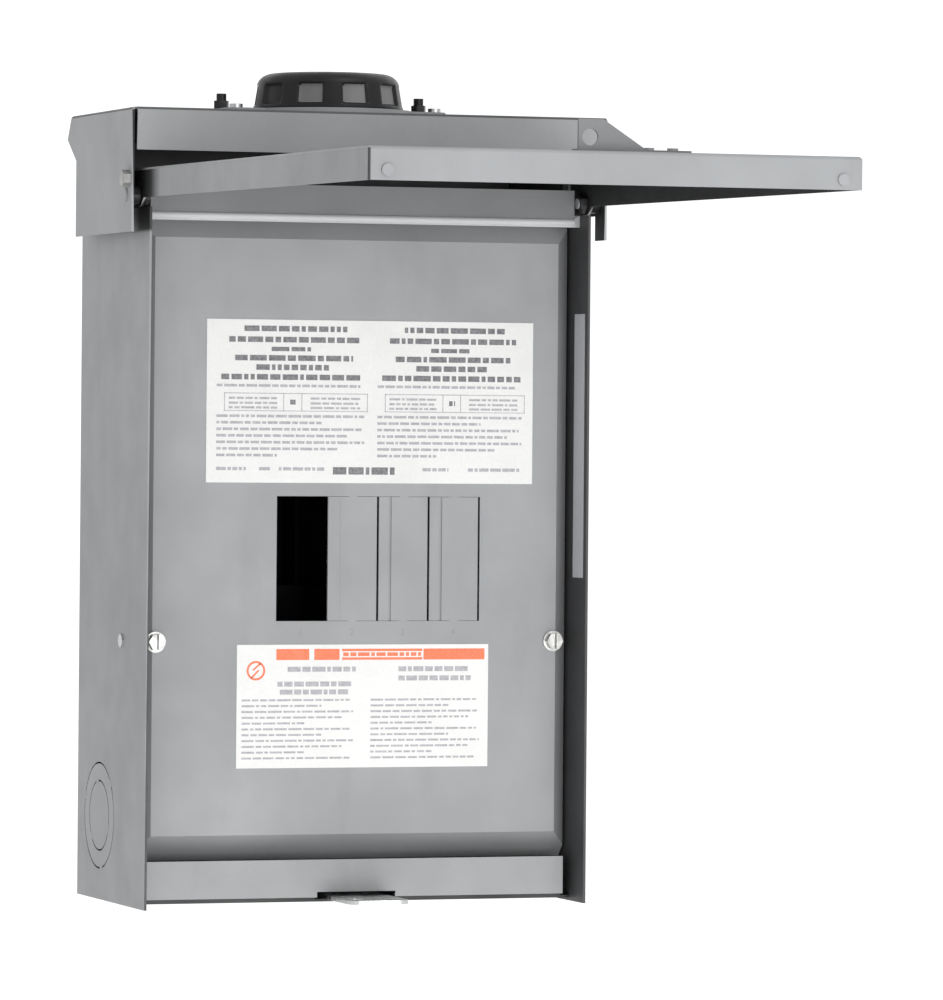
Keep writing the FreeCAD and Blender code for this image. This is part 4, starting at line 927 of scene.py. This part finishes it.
@dataclass
class Dressing:
    """Puts each CAD node into its finish, then paints shade and light on single faces: near-black copies of the
    enamel on the hidden sides of the sheets, darker copies on faces in shade and lighter copies as painted light.
    """

    special: dict[str, Finish] = field(default_factory=lambda: {
        "enclosure_wrapper": FINISHES.wrapper,
        # The parts behind the breaker window take the black with painted shade.
        "interior_base": FINISHES.dull,
        "bus_cover": FINISHES.dull,
        # The stay and face screws take the zinc with painted shade.
        "stay_screws": FINISHES.worn,
        "dead_front_screws": FINISHES.worn,
        # The door pull takes a darker copy of the enamel: painted shade.
        "door_pull": FINISHES.bracket,
    })
    bead_top: float = 4.4 * MM

    def build(self) -> None:
        """Replace every CAD node's material slots by its finish, then dress single faces."""
        finishes = FINISHES.by_slot()
        for entry in frame["record"]["subparts"]:
            node = frame["nodes"][entry["node"]]
            finish = self.special.get(entry["node"], finishes[entry["material_slot"]])
            node.data.materials.clear()
            node.data.materials.append(material(finish))
            LOG.info("node %s: %s", entry["node"], finish.name)
        self.wrapper()
        self.cap()
        self.door()
        self.dead_front()
        self.endwall()
        self.top_rail()

    def wrapper(self) -> None:
        """Painted shade on the inner faces of the box and the right wall's front edge; the outsides of back and
        right wall get the walls' darker enamel without its painted shadow.
        """
        faces = Faces(frame["nodes"]["enclosure_wrapper"])
        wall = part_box("enclosure_wrapper")[1][0]
        # Painted shade on the box's inner faces and on the right wall's front edge.
        inside = (np.abs(faces.middle[:, 0]) < wall - SKIN) & (faces.middle[:, 1] < -SKIN)
        edge = (faces.middle[:, 0] > wall - 1.4 * MM) & (faces.normal[:, 1] < -0.9)
        faces.finish(inside | edge, FINISHES.shade)
        # The outsides of the back and right wall keep the walls' darker copy of the enamel, without the painted
        # shadow.
        plain = replace(FINISHES.wrapper, name="wall_darkened_enamel", covered=())
        right = (faces.normal[:, 0] > 0.5) & (faces.middle[:, 0] > wall - SKIN)
        faces.finish((faces.normal[:, 1] > 0.5) | right, plain)

    def cap(self) -> None:
        """Painted shade on the inner faces of the rain cap, painted light on its front, and painted shade along
        the rounded fold of its upper edges.
        """
        faces = Faces(frame["nodes"]["rain_cap"])
        low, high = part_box("rain_cap")
        across, deep, level = np.abs(faces.middle[:, 0]), faces.middle[:, 1], faces.middle[:, 2]
        inside = (across < high[0] - SKIN) & (deep > low[1] + SKIN) & (level < high[2] - SKIN)
        # Painted shade on the cap's inner faces.
        faces.finish(inside, FINISHES.deep)
        # Painted light on the cap's front.
        faces.finish((faces.normal[:, 1] < -0.9) & ~inside, FINISHES.cap_front)
        # Painted shade along the rounded fold of the upper edges.
        tilt = faces.normal[:, 2]
        faces.finish((level > high[2] - 1.6 * MM) & (tilt > 0.12) & (tilt < 0.995), FINISHES.edge)

    def door(self) -> None:
        """Painted shade on the inner faces of the door pan, a darker copy with painted shadow towards the hinge
        on its left flange, and a darker copy on its near flange with painted shade along the corner's seam.
        """
        faces = Faces(frame["nodes"]["door"])
        low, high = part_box("door")
        within = np.abs(faces.middle[:, 0]) < high[0] - SKIN
        inward = (faces.normal[:, 0] * faces.middle[:, 0] < -0.01 * MM) | (faces.normal[:, 2] < -0.5)
        rear = (faces.normal[:, 1] > 0.5) & (faces.middle[:, 1] < low[1] + 2.0 * MM)
        # Painted shade on the pan's inner faces and the near flange's inner face.
        faces.finish(within & (inward | rear), FINISHES.deep)
        # Darker copy with painted shadow on the door's left flange.
        faces.finish((faces.middle[:, 0] < low[0] + 0.1 * MM) & (faces.normal[:, 0] < -0.9), FINISHES.flange)
        # Darker copy on the near flange, with painted shade along the corner seam at its left end.
        seam = replace(FINISHES.near_flange, covered=(("X", low[0] + 1.6 * MM, low[0] + 0.9 * MM),))
        near = (faces.middle[:, 1] < low[1] + SKIN) & (faces.normal[:, 1] < -0.9)
        faces.finish(near, seam)

    def dead_front(self) -> None:
        """Painted shade on the bevels below and to the right, and painted light on the one above."""
        faces = Faces(frame["nodes"]["dead_front"])
        slanted = (faces.normal[:, 1] < -0.4) & (faces.normal[:, 1] > -0.95)
        turned = (faces.normal[:, 0] > 0.3) | (faces.normal[:, 2] < -0.3)
        # Painted shade on the lower and right bevels.
        faces.finish(slanted & turned, FINISHES.bevel)
        # Painted light on the upper bevel.
        faces.finish(slanted & (faces.normal[:, 2] > 0.3), FINISHES.upper_bevel)

    def endwall(self) -> None:
        """Painted shade on the recessed strip under the lip and on every inner face of the floor."""
        faces = Faces(frame["nodes"]["bottom_endwall"])
        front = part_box("bottom_endwall")[0][1]
        # Painted shade on the strip under the lip and on the floor's inner faces.
        faces.finish(faces.middle[:, 1] > front + SKIN, FINISHES.deep)

    def top_rail(self) -> None:
        """Painted shadow on the flat of the header strip above its bead, and a painted highlight on the bead."""
        faces = Faces(frame["nodes"]["top_rail"])
        above = faces.middle[:, 2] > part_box("top_rail")[0][2] + self.bead_top
        # The door's painted shadow on the flat above the bead.
        faces.finish((faces.normal[:, 1] < -0.99) & above, FINISHES.rail)
        # Painted highlight on the bead.
        faces.finish((faces.normal[:, 1] < -0.3) & ~above, FINISHES.upper_bevel)


@dataclass
class Studio:
    """Pale floor, white surroundings, soft lights and the camera."""

    eye: tuple[float, float, float] = (-0.9574, -2.9997, 0.0548)
    yaw: float = 19.249
    pitch: float = 0.018
    roll: float = 0.475
    focal: float = 232.2
    shift: float = -0.0713
    near_sky: float = 0.68
    far_sky: float = 1.15
    bright_side: tuple[float, float, float] = (0.8, 1.0, 0.0)

    def build(self) -> None:
        """Make everything around the object."""
        self.floor()
        self.surroundings()
        self.lamp("front_light", (0.35, -2.9, -0.25), 1.3, 32.0)
        self.lamp("top_light", (0.6, -1.8, 2.4), 1.4, 12.0)
        self.camera()

    def floor(self) -> None:
        """A wide level sheet well below the object, as a grid of two by two points."""
        level = CAD_BOX[0][2] - 1.3
        side = np.array([-14.0, 14.0])
        x, y = np.meshgrid(side, side)
        points = np.stack([x.ravel(), y.ravel(), np.full(4, level)], axis=1)
        mesh = bpy.data.meshes.new("floor")
        mesh.from_pydata(points.tolist(), [], [[0, 1, 3, 2]])
        floor = bpy.data.objects.new("floor", mesh)
        bpy.context.scene.collection.objects.link(floor)
        mesh.materials.append(material(FINISHES.floor))

    def surroundings(self) -> None:
        """White light from everywhere, stronger from behind the object and its right."""
        world = bpy.data.worlds.new("white_room")
        world.use_nodes = True
        tree = world.node_tree
        sky = tree.nodes["Background"]
        way = tree.nodes.new("ShaderNodeTexCoord")
        turned = tree.nodes.new("ShaderNodeVectorMath")
        turned.operation = "DOT_PRODUCT"
        turned.inputs[1].default_value = self.bright_side
        ramp = tree.nodes.new("ShaderNodeMapRange")
        tree.links.new(way.outputs["Generated"], turned.inputs[0])
        tree.links.new(turned.outputs["Value"], ramp.inputs["Value"])
        ramp.inputs["From Min"].default_value = 0.55
        ramp.inputs["From Max"].default_value = 1.1
        ramp.inputs["To Min"].default_value = self.near_sky
        ramp.inputs["To Max"].default_value = self.far_sky
        tree.links.new(ramp.outputs["Result"], sky.inputs["Strength"])
        sky.inputs["Color"].default_value = (1.0, 1.0, 1.0, 1.0)
        bpy.context.scene.world = world
        bpy.context.scene.view_settings.view_transform = "Standard"
        bpy.context.scene.view_settings.look = "None"

    def lamp(self, name: str, place: tuple[float, float, float], size: float, power: float) -> None:
        """A square soft light that faces the object.

        Args:
            name: the lamp's name.
            place: its position.
            size: its side.
            power: its power in watts.
        """
        data = bpy.data.lights.new(name, "AREA")
        data.size = size
        data.energy = power
        lamp = bpy.data.objects.new(name, data)
        bpy.context.scene.collection.objects.link(lamp)
        lamp.location = place
        aim = Vector((0, -0.06, 0.02)) - Vector(place)
        lamp.rotation_euler = aim.to_track_quat("-Z", "Y").to_euler()

    def camera(self) -> None:
        """A long lens at eye height with the box, turned by yaw, pitch and roll."""
        yaw, pitch, roll = (math.radians(angle) for angle in (self.yaw, self.pitch, self.roll))
        right = Vector((math.cos(yaw), -math.sin(yaw), 0))
        level = Vector((math.sin(yaw), math.cos(yaw), 0))
        ahead = level * math.cos(pitch) + Vector((0, 0, 1)) * math.sin(pitch)
        above = Vector((0, 0, 1)) * math.cos(pitch) - level * math.sin(pitch)
        across = right * math.cos(roll) + above * math.sin(roll)
        upward = above * math.cos(roll) - right * math.sin(roll)
        data = bpy.data.cameras.new("camera")
        data.sensor_width = 36.0
        data.lens = self.focal
        data.shift_y = self.shift
        data.clip_end = 100.0
        camera = bpy.data.objects.new("camera", data)
        bpy.context.scene.collection.objects.link(camera)
        turn = Matrix((across, upward, -ahead)).transposed().to_4x4()
        camera.matrix_world = Matrix.Translation(Vector(self.eye)) @ turn
        bpy.context.scene.camera = camera


def main() -> None:
    """Dress the frame, add the new pieces and set up the studio."""
    Studio().build()
    Dressing().build()
    for builder in (HubCap(), RatingLabel(), CautionLabel(), PoleNumbers(), KnockoutTies()):
        LOG.info("building %s", type(builder).__name__)
        builder.build()


if __name__ == "__main__":
    main()
